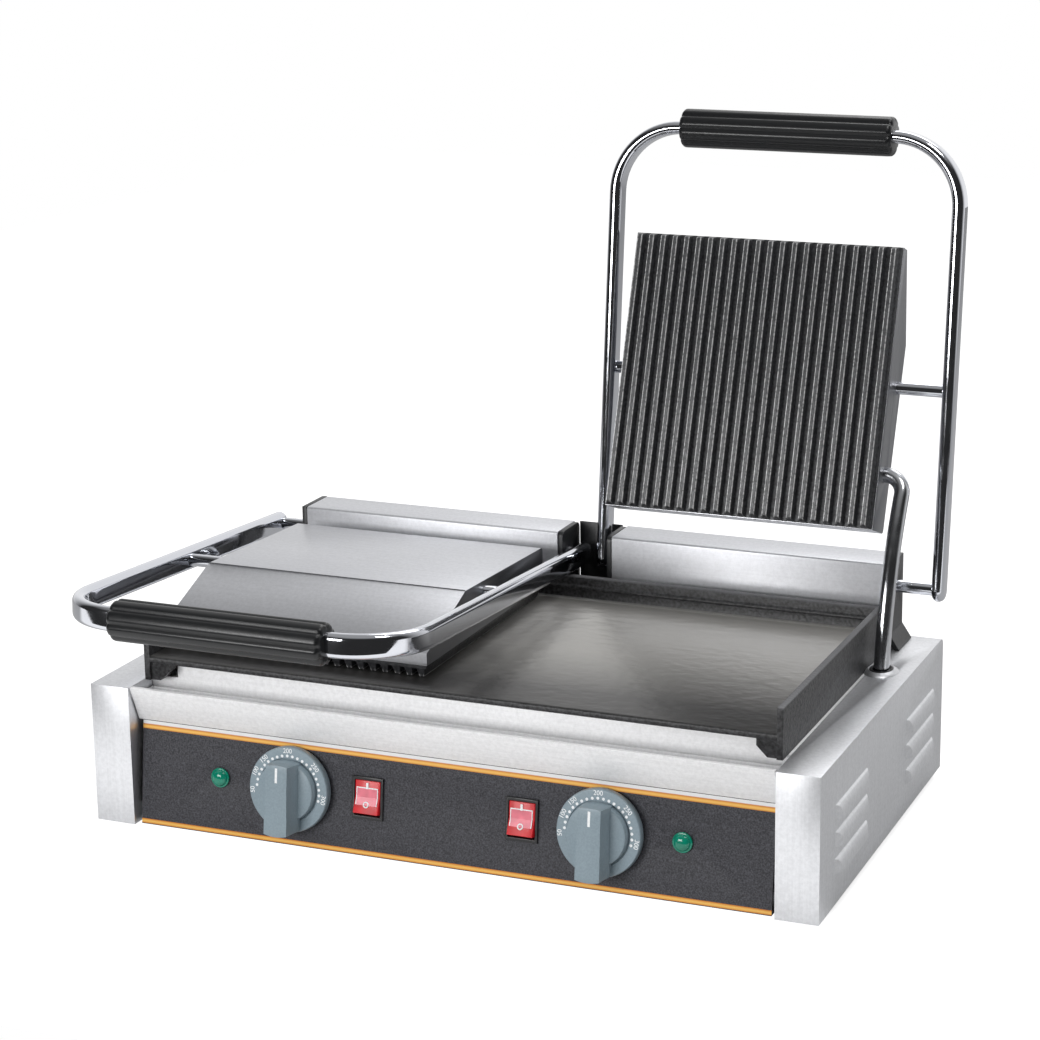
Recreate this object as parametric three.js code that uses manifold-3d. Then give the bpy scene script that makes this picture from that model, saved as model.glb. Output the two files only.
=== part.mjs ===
// A countertop contact grill with two cooking stations. All lengths are in millimetres.
// X runs to the viewer's right, Y to the back and Z up. The left lid is shut and the right one open.
import * as THREE from "three";
import { mergeVertices } from "three/addons/utils/BufferGeometryUtils.js";
import Module from "manifold-3d";

const wasm = await Module();
wasm.setup();

// Common clearances and sheet
const sheet = 1.2; // steel sheet
const seatGap = 0.3; // between pieces that touch
const runGap = 0.5; // round pieces that move
const overrun = 5; // of a cutter past what it cuts

// Body
const bodyWidth = 570;
const bodyDepth = 330;
const coverHeight = 108;
const coverWidth = 32;
const coverCorner = 6;
const wiringWindowFront = 60;
const wiringWindowBack = 180;
const wiringWindowBottom = 20;
const wiringWindowTop = 90;

// Louvres of the end covers
const louvreLength = 79;
const louvreHeight = 11;
const louvreProud = 4;
const louvreTaper = 7;
const louvrePitch = 20;
const louvreBottom = 24;
const louvreRows = 3;
const louvreFront = 36;
const louvreBackInset = 29.5;

// Feet
const footRadius = 15;
const footHeight = 8;
const footTaper = 1.5;
const footInsetX = 45;
const footInsetFront = 62;
const footInsetBack = 40;

// Front panel, leaning back
const panelHeight = 80;
const panelFoot = 4.5;
const panelTop = 14;
const panelSideGap = 3.5;
const panelFlange = 14;
const controlRise = 43.8;

// Bottom pan and rear panel
const panLip = 12;
const panSlotLength = 46;
const panSlotWidth = 6;
const panSlotPitch = 22;
const panSlotCount = 5;
const panSlotX = 115;
const panSlotY = 140;
const rearInset = 3;
const ventWidth = 5;
const ventHeight = 40;
const ventPitch = 16;
const ventCount = 8;
const ventX = 110;
const ventBottom = 34;

// Lower plate
const plateSideGap = 2;
const plateNose = 21.7;
const plateFloor = 127;
const plateThick = 8;
const noseThick = 5.5;
const noseRound = 2.4;
const noseReach = 16.3;
const wallThick = 4.5;
const wallRise = 19;
const wallRound = 3;
const plateBackGap = 7.5;
const plateBackThick = 7;
const backFillet = 4;
const beadRise = 10;
const beadProud = 1.4;
const beadHeight = 4;
const lugWidth = 20;
const lugBevel = 8;
const lugDepth = 10;
const lugFront = 2.3;

// Top frame under the lower plate
const frameFront = 35;
const frameLedge = 19;
const frameLedgeFront = 17;
const frameSkirt = 16;

// Drip tray
const traySideGap = 1;
const trayLip = 0.5;
const trayLipRise = 0.5;
const trayLipReturn = 4;
const trayFoot = 12;
const trayBackGap = 1.5;
const trayBackDrop = 8;
const traySheet = 1;
const trayFloorGap = 0.5;

// Knobs, dial and thermostats
const knobShare = 0.4902; // of the panel's half width
const knobGap = 1;
const skirtRadius = 32;
const skirtRim = 3;
const skirtBevel = 2.6;
const skirtOut = 8.5;
const grooveDepth = 1.4;
const grooveWidth = 1.2;
const capRadius = 24.5;
const capOut = 18.5;
const capRound = 1.6;
const gripBarWidth = 16;
const gripBarOut = 27.5;
const gripBarRound = 4;
const gripBarFaceLow = 15;
const gripBarHeelOut = 9.5;
const spindleRadius = 3;
const spindleOut = 15;
const spindleIn = 13;
const thermostatWidth = 36;
const thermostatHeight = 30;
const thermostatDepth = 26;
const thermostatNeckRadius = 4.6;
const thermostatNeckLength = 2.2;

// Rocker switches
const rockerShare = 0.2445;
const bezelWidth = 25;
const bezelHeight = 32;
const bezelOut = 1.8;
const switchBodyWidth = 22.6;
const switchBodyHeight = 29.4;
const switchDepth = 23;
const switchWellDepth = 13;
const switchWellWidth = 20.8;
const switchWellHeight = 26.8;
const rockerWidth = 20;
const rockerHeight = 24.4;
const rockerOut = 3.6;
const rockerWaistOut = 1.6;
const rockerPivotIn = 3.4;
const rockerHeelIn = 8;
const rockerHeelHeight = 13;
const rockerTilt = THREE.MathUtils.degToRad(9);
const switchBladeWidth = 6.3;
const switchBladeThick = 0.8;
const switchBladeLength = 8;
const switchBladeSpread = 8;

// Pilot lamps
const pilotShare = 0.7323;
const lensRadius = 7.4;
const lensOut = 5.4;
const pilotBodyRadius = 5.4;
const pilotBodyIn = 24;

// Hinge boxes, brackets and channel behind the plate
const boxInner = 23.3;
const boxOuterGap = 3.8;
const boxBackGap = 9.4;
const boxDepth = 38.1;
const boxHeight = 68.7;
const boxRound = 2;
const bracketThick = 4;
const bracketOuterThick = 4.5;
const bracketInset = 0.5;
const bracketFootRise = 12;
const bracketFootFlare = 8;
const bracketRound = 5;

// Hinge axis, pivot shafts and springs
const hingeFromBoxFront = 20.8;
const hingeOverBoxFoot = 46.2;
const shaftRadius = 5;
const springWire = 2.5;
const springRadius = 6.9;
const springPitch = 3.4;
const springCurls = 8;
const springSteps = 8;
const springSides = 5;
const springLeg = 16;
const springStart = 44;

// Handle bars and grips
const armInner = 9.2;
const armOverhang = 2.4;
const armLength = 346;
const armRise = THREE.MathUtils.degToRad(3.6);
const lidSwing = THREE.MathUtils.degToRad(93.1);
const barThin = 10;
const barWide = 18.5;
const barBend = 52;
const barBendSteps = 7;
const pinDepth = 6.5;
const gripEndGap = 1.6;
const gripRadius = 15.5;
const gripFlutes = 8;
const gripFluteDepth = 1.7;
const gripFlutePoints = 6;
const gripEndRound = 4;

// Upper plates, each carried by a tilt rod
const tiltRodReach = 154.2;
const tiltRodRadius = 5;
const plateWallGap = 1;
const plateInner = 28.5;
const plateDraft = 2.2;
const plateLength = 217;
const plateHeight = 20;
const shoulderHeight = 9;
const shoulderInset = 1.4;
const frontBevelRun = 8;
const frontBevelDrop = 3.6;
const plateRodFromRear = 112.7;
const plateRodRise = 36.3;
const plateSwing = THREE.MathUtils.degToRad(110);
const ribCount = 22;
const ribMargin = 1.98;
const ribHeight = 6.5;
const ribCrest = 3.6;
const ribFoot = 6.4;
const ribEndSlope = 2.5;
const elementPocket = 8;
const rimWidth = 8;
const earHalf = 11;
const earRadius = 7.2;

// Folded covers over the upper plates
const lidCoverProud = 0.5;
const lidCoverRearHeight = 41;
const lidCoverCreaseRun = 148;
const lidCoverCreaseHeight = 47;
const lidCoverFrontHeight = 19;
const lidCoverFold = 3;

// Conduits and their bushes
const conduitRadius = 6;
const conduitSides = 12;
const conduitInset = 9;
const conduitElbow = 15;
const conduitStraight = 3;
const conduitElbowSteps = 6;
const conduitStub = 7;
const conduitFromRear = 44;
const conduitRise = 26.5;
const conduitBend = 280;
const conduitLength = 158;
const conduitBendSteps = 9;
const conduitLeanShut = THREE.MathUtils.degToRad(-13.33);
const conduitLeanOpen = THREE.MathUtils.degToRad(34.27);
const bushFromHinge = 72.4;
const bushSlotWidth = 12.6;
const bushSlotLength = 16.2;
const bushWall = 1.1;
const bushLip = 1.2;
const bushLipHeight = 2.4;
const bushDepth = 3.4;

// Heating elements
const elementRadius = 3.2;
const elementSides = 6;
const elementBendSteps = 4;
const elementRuns = 4;
const elementSpread = 40;
const elementEndGap = 33.5;
const lowerElementX = 125;
const upperElementRear = 34;

// Terminal block and cable gland
const terminalX = -150;
const terminalBackGap = 38;
const terminalLength = 46;
const terminalDepth = 20;
const terminalHeight = 12;
const terminalPosts = 3;
const terminalPostRadius = 5.5;
const terminalPostHeight = 7;
const glandX = -150;
const glandZ = 46;
const glandBore = 4.5;
const glandNeck = 8;
const glandFlange = 13;
const glandFlangeLength = 4;
const glandDome = 10;
const glandLength = 18;
const glandInside = 10;

// Facets of round forms
const fineSides = 32;
const roundSides = 20;
const cornerSteps = 3;

// Worked out from the sizes above
const innerSide = bodyWidth / 2 - coverWidth;
const betweenCovers = innerSide - seatGap;
const panelSide = innerSide - panelSideGap;
const knobX = knobShare * panelSide;
const rockerX = rockerShare * panelSide;
const pilotX = pilotShare * panelSide;
const plateSide = innerSide - plateSideGap;
const traySide = innerSide - traySideGap;
const conduitX = innerSide + conduitInset;
const louvreBack = bodyDepth - louvreBackInset - louvreLength;
const panelLean = Math.atan((panelTop - panelFoot) / panelHeight);
const deckTop = coverHeight;
const standing = deckTop + seatGap;
const boxOuter = innerSide - boxOuterGap;
const boxBack = bodyDepth - boxBackGap;
const boxFront = boxBack - boxDepth;
const boxTop = standing + boxHeight;
const hingeY = boxFront + hingeFromBoxFront;
const hingeZ = standing + hingeOverBoxFoot;
const bushY = hingeY - bushFromHinge;
const plateBack = boxFront - plateBackGap;
const plateBackFace = plateBack - plateBackThick;
const wallTop = plateFloor + wallRise;
const plateOuter = plateSide - wallThick - plateWallGap;
const plateCentre = (plateInner + plateOuter) / 2;
const plateHalf = (plateOuter - plateInner) / 2;
const lidCoverHalf = plateHalf + lidCoverProud;
const ribPitch = (2 * (plateHalf - ribMargin) - ribFoot) / (ribCount - 1);
const frameWindowX = plateSide - frameLedge;
const frameWindowFront = frameFront + frameLedgeFront;
const frameWindowBack = plateBack - frameLedge;
const trayBack = frameFront - trayBackGap;
const trayLipTop = coverHeight + trayLipRise;
const trayBackTop = coverHeight - trayBackDrop;
const terminalY = bodyDepth - terminalBackGap - terminalDepth / 2;
const elementLength = plateLength - 2 * elementEndGap;
const lowerElementY = (frameFront + plateBack) / 2;
const armOuter = bodyWidth / 2 + armOverhang;
const gripLength = armOuter - armInner - 2 * (barBend + gripEndGap);
const rearFace = bodyDepth - rearInset;
const panFront = panelFoot + panelFlange + seatGap;
const handleFront = hingeY - armLength * Math.cos(armRise) - gripRadius;
const openLean = armRise + lidSwing;
const handleBack = hingeY - armLength * Math.cos(openLean) + gripRadius;
const middleY = (handleFront + handleBack) / 2;

// Materials
const finish = (color, roughness, metalness) =>
  new THREE.MeshStandardMaterial({ color, roughness, metalness });
const steel = finish(0xc4c5c8, 0.4, 0.9);
const galvanised = finish(0xa9acae, 0.55, 0.8);
const chrome = finish(0xe4e6ea, 0.08, 1);
const panelPaint = finish(0x48484c, 0.55, 0.1);
const castIron = finish(0x34343a, 0.6, 0.4);
const seasonedIron = finish(0x5a5856, 0.4, 0.4);
const blackPaint = finish(0x2c2c2e, 0.6, 0.2);
const blackPlastic = finish(0x1d1d1f, 0.5, 0);
const knobPlastic = finish(0x75858d, 0.45, 0);
const redPlastic = finish(0xc8202a, 0.25, 0);
const greenLens = finish(0x1f8a5b, 0.15, 0);
const rubber = finish(0x202022, 0.85, 0);
const springSteel = finish(0x8d9196, 0.35, 0.9);
const elementSheath = finish(0x6d675f, 0.5, 0.7);
const ceramic = finish(0xe6e1d4, 0.6, 0);

// A closed surface with welded corners, its faces turned outwards, as a solid.
function solidOf(geometry) {
  const loose = geometry.index ? geometry.toNonIndexed() : geometry;
  const bare = new THREE.BufferGeometry().setAttribute("position", loose.getAttribute("position"));
  const welded = mergeVertices(bare);
  const places = welded.getAttribute("position");
  const corners = [];
  let volume = 0;
  const [a, b, c] = [new THREE.Vector3(), new THREE.Vector3(), new THREE.Vector3()];
  for (let at = 0; at < welded.index.count; at += 3) {
    const [i, j, k] = [0, 1, 2].map((step) => welded.index.getX(at + step));
    if (i === j || j === k || k === i) continue;
    corners.push([i, j, k]);
    a.fromBufferAttribute(places, i);
    b.fromBufferAttribute(places, j);
    c.fromBufferAttribute(places, k);
    volume += a.dot(b.cross(c));
  }
  const facing = volume < 0 ? corners.map(([i, j, k]) => [i, k, j]) : corners;
  const triVerts = new Uint32Array(facing.flat());
  const vertProperties = places.array;
  return new wasm.Manifold(new wasm.Mesh({ numProp: 3, vertProperties, triVerts }));
}

function geometryOf(solid) {
  const made = solid.getMesh();
  const geometry = new THREE.BufferGeometry();
  geometry.setAttribute("position", new THREE.BufferAttribute(made.vertProperties, made.numProp));
  geometry.setIndex(new THREE.BufferAttribute(made.triVerts, 1));
  geometry.computeVertexNormals();
  return geometry;
}

const join = (...solids) => solids.reduce((sum, next) => sum.add(next));
const cut = (body, ...cutters) => cutters.reduce((rest, cutter) => rest.subtract(cutter), body);

function place(parent, name, solid, material) {
  const mesh = new THREE.Mesh(geometryOf(solid), material);
  mesh.name = name;
  parent.add(mesh);
  return mesh;
}

function block([x0, x1], [y0, y1], [z0, z1]) {
  const geometry = new THREE.BoxGeometry(x1 - x0, y1 - y0, z1 - z0);
  return solidOf(geometry.translate((x0 + x1) / 2, (y0 + y1) / 2, (z0 + z1) / 2));
}

// Points round an outline whose corners may each have a radius as their third number.
function rounded(corners, steps = cornerSteps) {
  return corners.flatMap(([x, y, radius = 0], index) => {
    const corner = new THREE.Vector2(x, y);
    if (radius === 0) return [corner];
    const [beforeX, beforeY] = corners.at(index - 1);
    const [afterX, afterY] = corners[(index + 1) % corners.length];
    const toBefore = new THREE.Vector2(beforeX, beforeY).sub(corner).normalize();
    const toAfter = new THREE.Vector2(afterX, afterY).sub(corner).normalize();
    const half = toBefore.angleTo(toAfter) / 2;
    const bisector = toBefore.clone().add(toAfter).normalize();
    const centre = corner.clone().addScaledVector(bisector, radius / Math.sin(half));
    const start = corner.clone().addScaledVector(toBefore, radius / Math.tan(half)).sub(centre);
    const turn = Math.PI - 2 * half;
    const side = Math.sign(toAfter.cross(toBefore));
    return Array.from({ length: steps + 1 }, (_, step) =>
      start.clone().rotateAround(new THREE.Vector2(), (side * turn * step) / steps).add(centre),
    );
  });
}

// An outline drawn out straight along one axis, between two places on it.
function drawnOut(corners, from, to, basis) {
  const shape = new THREE.Shape(rounded(corners));
  const geometry = new THREE.ExtrudeGeometry(shape, { depth: to - from, bevelEnabled: false });
  return solidOf(geometry.translate(0, 0, from).applyMatrix4(basis));
}
const axisX = new THREE.Vector3(1, 0, 0);
const axisY = new THREE.Vector3(0, 1, 0);
const axisZ = new THREE.Vector3(0, 0, 1);
const fromYZ = new THREE.Matrix4().makeBasis(axisY, axisZ, axisX);
const fromXZ = new THREE.Matrix4().makeBasis(axisX, axisZ, axisY);
const fromXY = new THREE.Matrix4().makeBasis(axisX, axisY, axisZ);
const alongX = (corners, [from, to]) => drawnOut(corners, from, to, fromYZ);
const alongY = (corners, [from, to]) => drawnOut(corners, from, to, fromXZ);
const alongZ = (corners, [from, to]) => drawnOut(corners, from, to, fromXY);

const rodX = (radius, [from, to], y = 0, z = 0, sides = roundSides) =>
  solidOf(
    new THREE.CylinderGeometry(radius, radius, to - from, sides)
      .rotateZ(Math.PI / 2)
      .translate((from + to) / 2, y, z),
  );
const rodY = (radius, [from, to], x = 0, z = 0, sides = roundSides) =>
  solidOf(
    new THREE.CylinderGeometry(radius, radius, to - from, sides).translate(x, (from + to) / 2, z),
  );
const rodZ = (radius, [from, to], x = 0, y = 0, sides = roundSides) =>
  solidOf(
    new THREE.CylinderGeometry(radius, radius, to - from, sides)
      .rotateX(Math.PI / 2)
      .translate(x, y, (from + to) / 2),
  );

// A turned form round the Y axis, from pairs of radius and place.
const turned = (pairs, sides = fineSides) =>
  new THREE.LatheGeometry(
    pairs.map(([radius, at]) => new THREE.Vector2(radius, at)),
    sides,
  );

// A route through chosen stations, with one step of a tube between each two of them.
class Route extends THREE.Curve {
  constructor(stations) {
    super();
    this.stations = stations;
  }
  getPoint(t) {
    const last = this.stations.length - 1;
    const at = Math.min(Math.max(t, 0), 1) * last;
    const index = Math.min(Math.floor(at), last - 1);
    return this.stations[index].clone().lerp(this.stations[index + 1], at - index);
  }
  getUtoTmapping(u) {
    return u;
  }
}

function tube(stations, section) {
  const shape = new THREE.Shape(section);
  const settings = { steps: stations.length - 1, extrudePath: new Route(stations) };
  return solidOf(new THREE.ExtrudeGeometry(shape, { ...settings, bevelEnabled: false }));
}

const ring = (radius, sides) =>
  Array.from({ length: sides }, (_, side) => {
    const angle = (2 * Math.PI * side) / sides;
    return new THREE.Vector2(radius * Math.cos(angle), radius * Math.sin(angle));
  });

// Pill section with a straight middle, wide along its first direction.
const pill = (wide, thin) =>
  rounded(
    [
      [-wide / 2, -thin / 2, thin / 2],
      [wide / 2, -thin / 2, thin / 2],
      [wide / 2, thin / 2, thin / 2],
      [-wide / 2, thin / 2, thin / 2],
    ].map(([x, y, radius]) => [x, y, radius * pillRoundShare]),
  );
const pillRoundShare = 0.98;

// Stations of an arc in the plane of two directions, without its first point.
function arcStations(centre, towards, sideways, radius, angle, steps) {
  return Array.from({ length: steps }, (_, step) => {
    const turn = (angle * (step + 1)) / steps;
    return centre
      .clone()
      .addScaledVector(towards, radius * Math.cos(turn))
      .addScaledVector(sideways, radius * Math.sin(turn));
  });
}

const body = new THREE.Group();
body.position.set(0, -middleY, footHeight);

// A half of the body, mirrored for the left side. Its X is the distance from the middle.
function halfOf(parent, side) {
  const half = new THREE.Group();
  half.scale.x = side;
  parent.add(half);
  return half;
}

function louvre(front, bottom) {
  const top = bottom + louvreHeight;
  const hood = (proud, inset, low) => {
    const wall = bodyWidth / 2 - inset;
    const arch = Array.from({ length: 5 }, (_, step) => {
      const turn = (Math.PI / 2) * (step / 4);
      return [wall + proud * Math.cos(turn), bottom + (top - bottom) * Math.sin(turn)];
    });
    return alongY(
      [[wall - sheet, low], [wall + proud, low], ...arch, [wall - sheet, top]],
      [front + inset, front + louvreLength - inset],
    );
  };
  const plan = (proud, inset) => {
    const wall = bodyWidth / 2 - inset;
    const [start, end] = [front + inset, front + louvreLength - inset];
    return alongZ(
      [
        [wall - sheet - overrun, start],
        [wall, start],
        [wall + proud, start + louvreTaper],
        [wall + proud, end - louvreTaper],
        [wall, end],
        [wall - sheet - overrun, end],
      ],
      [bottom - overrun - overrun, top + overrun],
    );
  };
  return {
    hood: hood(louvreProud, 0, bottom - seatGap).intersect(plan(louvreProud, 0)),
    slot: hood(louvreProud, sheet, bottom - sheet).intersect(plan(louvreProud, sheet)),
  };
}

function endCover() {
  const shell = (inset) => [
    [inset, inset ? -overrun : 0],
    [bodyDepth - inset, inset ? -overrun : 0],
    [bodyDepth - inset, coverHeight - inset, coverCorner - inset],
    [inset, coverHeight - inset],
  ];
  const outer = alongX(shell(0), [innerSide, bodyWidth / 2]);
  const inner = alongX(shell(sheet), [innerSide + sheet, bodyWidth / 2 - sheet]);
  const louvres = [louvreFront, louvreBack].flatMap((front) =>
    Array.from({ length: louvreRows }, (_, row) => louvre(front, louvreBottom + louvrePitch * row)),
  );
  const bushHole = bushOutline(bushWall + seatGap);
  return cut(
    join(cut(outer, inner), ...louvres.map(({ hood }) => hood)),
    ...louvres.map(({ slot }) => slot),
    alongZ(bushHole, [coverHeight - sheet - overrun, coverHeight + overrun]),
    block(
      [innerSide - overrun, innerSide + sheet + overrun],
      [wiringWindowFront, wiringWindowBack],
      [wiringWindowBottom, wiringWindowTop],
    ),
  );
}

// The conduit's slot seen from above, grown by a wall.
function bushOutline(grown) {
  const [halfX, halfY] = [bushSlotWidth / 2 + grown, bushSlotLength / 2 + grown];
  const radius = halfX * pillRoundShare;
  return [
    [conduitX - halfX, bushY - halfY, radius],
    [conduitX + halfX, bushY - halfY, radius],
    [conduitX + halfX, bushY + halfY, radius],
    [conduitX - halfX, bushY + halfY, radius],
  ];
}

function conduitBush() {
  const lip = alongZ(bushOutline(bushWall + bushLip), [standing, standing + bushLipHeight]);
  const neck = alongZ(bushOutline(bushWall), [coverHeight - bushDepth, standing + seatGap]);
  const slot = alongZ(bushOutline(0), [coverHeight - bushDepth - overrun, standing + overrun]);
  return cut(join(lip, neck), slot);
}

function bottomPan() {
  const floor = block([-betweenCovers, betweenCovers], [panFront, rearFace - sheet - seatGap], [0, sheet]);
  const flange = (from, to) => block([from, to], [panFront, rearFace - sheet - seatGap], [0, panLip]);
  const lip = block([-betweenCovers, betweenCovers], [panFront, panFront + sheet], [0, panLip]);
  const slots = [-1, 1].flatMap((side) =>
    Array.from({ length: panSlotCount }, (_, index) => {
      const middle = side * panSlotX + panSlotPitch * (index - (panSlotCount - 1) / 2);
      return block(
        [middle - panSlotWidth / 2, middle + panSlotWidth / 2],
        [panSlotY, panSlotY + panSlotLength],
        [-overrun, sheet + overrun],
      );
    }),
  );
  const left = flange(-betweenCovers, -betweenCovers + sheet);
  const right = flange(betweenCovers - sheet, betweenCovers);
  return cut(join(floor, lip, left, right), ...slots);
}

// Controls sit on the leaning panel. There Y is the depth behind its face and Z runs up it.
const panelPlane = new THREE.Group();
panelPlane.position.set(0, panelFoot, 0);
panelPlane.rotation.x = -panelLean;
panelPlane.updateMatrix();
body.add(panelPlane);

function onPanel(solid) {
  return solidOf(geometryOf(solid).applyMatrix4(panelPlane.matrix));
}

function frontPanel() {
  const run = Math.tan(panelLean) * panelHeight;
  const slant = sheet / Math.cos(panelLean);
  const topBack = panelFoot + run + panelFlange;
  const lowBack = panelFoot + panelFlange;
  const sheetRun = Math.tan(panelLean) * sheet;
  const folded = alongX(
    [
      [panelFoot, 0],
      [panelFoot + run, panelHeight],
      [topBack, panelHeight],
      [topBack, panelHeight - sheet],
      [panelFoot + run + slant - sheetRun, panelHeight - sheet],
      [panelFoot + slant + sheetRun, sheet],
      [lowBack, sheet],
      [lowBack, 0],
    ],
    [-panelSide, panelSide],
  );
  const through = [-overrun, sheet + overrun];
  const holes = [-1, 1].flatMap((side) => [
    rodY(thermostatNeckRadius + seatGap, through, side * knobX, controlRise),
    rodY(pilotBodyRadius + seatGap, through, side * pilotX, controlRise),
    block(
      [
        side * rockerX - switchBodyWidth / 2 - seatGap,
        side * rockerX + switchBodyWidth / 2 + seatGap,
      ],
      through,
      [
        controlRise - switchBodyHeight / 2 - seatGap,
        controlRise + switchBodyHeight / 2 + seatGap,
      ],
    ),
  ]);
  return cut(folded, ...holes.map(onPanel));
}

function rearPanel() {
  const inner = rearFace - sheet;
  const deckFront = plateBack + seatGap;
  const folded = alongX(
    [
      [rearFace, 0],
      [rearFace, deckTop],
      [deckFront, deckTop],
      [deckFront, deckTop - sheet],
      [inner, deckTop - sheet],
      [inner, 0],
    ],
    [-betweenCovers, betweenCovers],
  );
  const vents = Array.from({ length: ventCount }, (_, index) => {
    const middle = ventX + ventPitch * (index - (ventCount - 1) / 2);
    return block(
      [middle - ventWidth / 2, middle + ventWidth / 2],
      [inner - overrun, rearFace + overrun],
      [ventBottom, ventBottom + ventHeight],
    );
  });
  const glandHole = rodY(glandNeck + seatGap, [inner - overrun, rearFace + overrun], glandX, glandZ);
  return cut(folded, glandHole, ...vents);
}

function topFrame() {
  const shelf = block(
    [-betweenCovers, betweenCovers],
    [frameFront, plateBack],
    [deckTop - sheet, deckTop],
  );
  const window = block(
    [-frameWindowX, frameWindowX],
    [frameWindowFront, frameWindowBack],
    [deckTop - sheet - overrun, deckTop + overrun],
  );
  const lowWall = block(
    [-betweenCovers, betweenCovers],
    [frameFront, frameFront + sheet],
    [panelHeight + trayFloorGap, deckTop],
  );
  const lugSide = plateSide - lugWidth - seatGap;
  const highWall = block(
    [-lugSide, lugSide],
    [frameFront, frameFront + sheet],
    [deckTop - sheet, plateFloor - noseThick - seatGap],
  );
  const skirt = (from, to) => block([from, to], [frameFront, plateBack], [deckTop - frameSkirt, deckTop]);
  const left = skirt(-betweenCovers, -betweenCovers + sheet);
  const right = skirt(betweenCovers - sheet, betweenCovers);
  return join(cut(shelf, window), lowWall, highWall, left, right);
}

function lowerPlate() {
  const underside = plateFloor - plateThick;
  const noseUnder = plateFloor - noseThick;
  const noseBack = plateNose + noseReach;
  const beadLow = plateFloor + beadRise - beadHeight / 2;
  const casting = alongX(
    [
      [plateNose, noseUnder, noseRound],
      [plateNose, plateFloor, noseRound],
      [plateBackFace, plateFloor, backFillet],
      [plateBackFace, beadLow],
      [plateBackFace - beadProud, beadLow + beadProud],
      [plateBackFace - beadProud, beadLow + beadHeight - beadProud],
      [plateBackFace, beadLow + beadHeight],
      [plateBackFace, wallTop, noseRound],
      [plateBack, wallTop, noseRound],
      [plateBack, standing],
      [plateBack - wallThick, standing],
      [plateBack - wallThick, underside],
      [noseBack, underside],
      [noseBack, noseUnder],
    ],
    [-plateSide, plateSide],
  );
  const wall = (from, to) =>
    alongX(
      [
        [plateNose, standing],
        [plateNose, wallTop, wallRound],
        [plateBack, wallTop, wallRound],
        [plateBack, standing],
      ],
      [from, to],
    );
  const lug = (side) =>
    alongY(
      [
        [side * plateSide, noseUnder + noseRound],
        [side * plateSide, standing],
        [side * (plateSide - lugWidth + lugBevel), standing],
        [side * (plateSide - lugWidth), standing + lugBevel],
        [side * (plateSide - lugWidth), noseUnder + noseRound],
      ],
      [plateNose + lugFront, plateNose + lugFront + lugDepth],
    );
  return join(
    casting,
    wall(plateSide - wallThick, plateSide),
    wall(-plateSide, -plateSide + wallThick),
    lug(1),
    lug(-1),
  );
}

function dripTray() {
  const bottom = panelHeight + trayFloorGap;
  const floor = bottom + traySheet;
  const front = alongX(
    [
      [trayFoot, bottom],
      [trayLip, trayLipTop],
      [trayLip + trayLipReturn, trayLipTop],
      [trayLip + trayLipReturn, trayLipTop - traySheet],
      [trayLip + traySheet + traySheet / 2, trayLipTop - traySheet],
      [trayFoot + traySheet, floor],
      [trayBack - traySheet, floor],
      [trayBack - traySheet, trayBackTop],
      [trayBack, trayBackTop],
      [trayBack, bottom],
    ],
    [-traySide, traySide],
  );
  const lean = (trayFoot - trayLip) / (trayLipTop - bottom);
  const endTop = trayBackTop;
  const end = (from, to) =>
    alongX(
      [
        [trayFoot, bottom],
        [trayFoot - lean * (endTop - bottom), endTop],
        [trayBack, endTop],
        [trayBack, bottom],
      ],
      [from, to],
    );
  return join(front, end(traySide - traySheet, traySide), end(-traySide, -traySide + traySheet));
}

function foot() {
  return solidOf(
    turned([
      [0, -footHeight],
      [footRadius - footTaper, -footHeight],
      [footRadius, 0],
      [0, 0],
    ], roundSides),
  );
}

// Turned forms of the controls are given as radius and distance in front of the panel.
const outwards = (pairs, sides) => turned(pairs.map(([radius, out]) => [radius, -out]), sides);

function knob() {
  const dial = solidOf(
    outwards([
      [0, knobGap],
      [skirtRadius - skirtRim / 2, knobGap],
      [skirtRadius, knobGap + skirtRim],
      [skirtRadius - skirtBevel, skirtOut],
      [capRadius + grooveWidth, skirtOut],
      [capRadius + grooveWidth, skirtOut - grooveDepth],
      [capRadius, skirtOut - grooveDepth],
      [capRadius, capOut - capRound],
      [capRadius - capRound, capOut],
      [0, capOut],
    ]),
  );
  const bar = alongX(
    [
      [-skirtOut + skirtRim, -skirtRadius],
      [-gripBarHeelOut, -skirtRadius],
      [-gripBarOut, -gripBarFaceLow, gripBarRound],
      [-gripBarOut, capRadius, gripBarRound],
      [-skirtOut + skirtRim, capRadius],
    ],
    [-gripBarWidth / 2, gripBarWidth / 2],
  );
  const reach = rodY(skirtRadius - skirtBevel / 2, [-gripBarOut - overrun, 0], 0, 0, fineSides);
  const bore = rodY(spindleRadius + seatGap, [-spindleOut - seatGap, 0]);
  return cut(join(dial, bar.intersect(reach)), bore);
}

const spindle = () => rodY(spindleRadius, [-spindleOut, spindleIn], 0, 0, roundSides);

function thermostat() {
  const front = sheet + seatGap;
  const box = block(
    [-thermostatWidth / 2, thermostatWidth / 2],
    [front, front + thermostatDepth],
    [-thermostatHeight / 2, thermostatHeight / 2],
  );
  const neck = rodY(thermostatNeckRadius, [sheet - thermostatNeckLength, front + overrun]);
  const bore = rodY(spindleRadius + seatGap, [-overrun, spindleIn + seatGap]);
  return cut(join(box, neck), bore);
}

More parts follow.
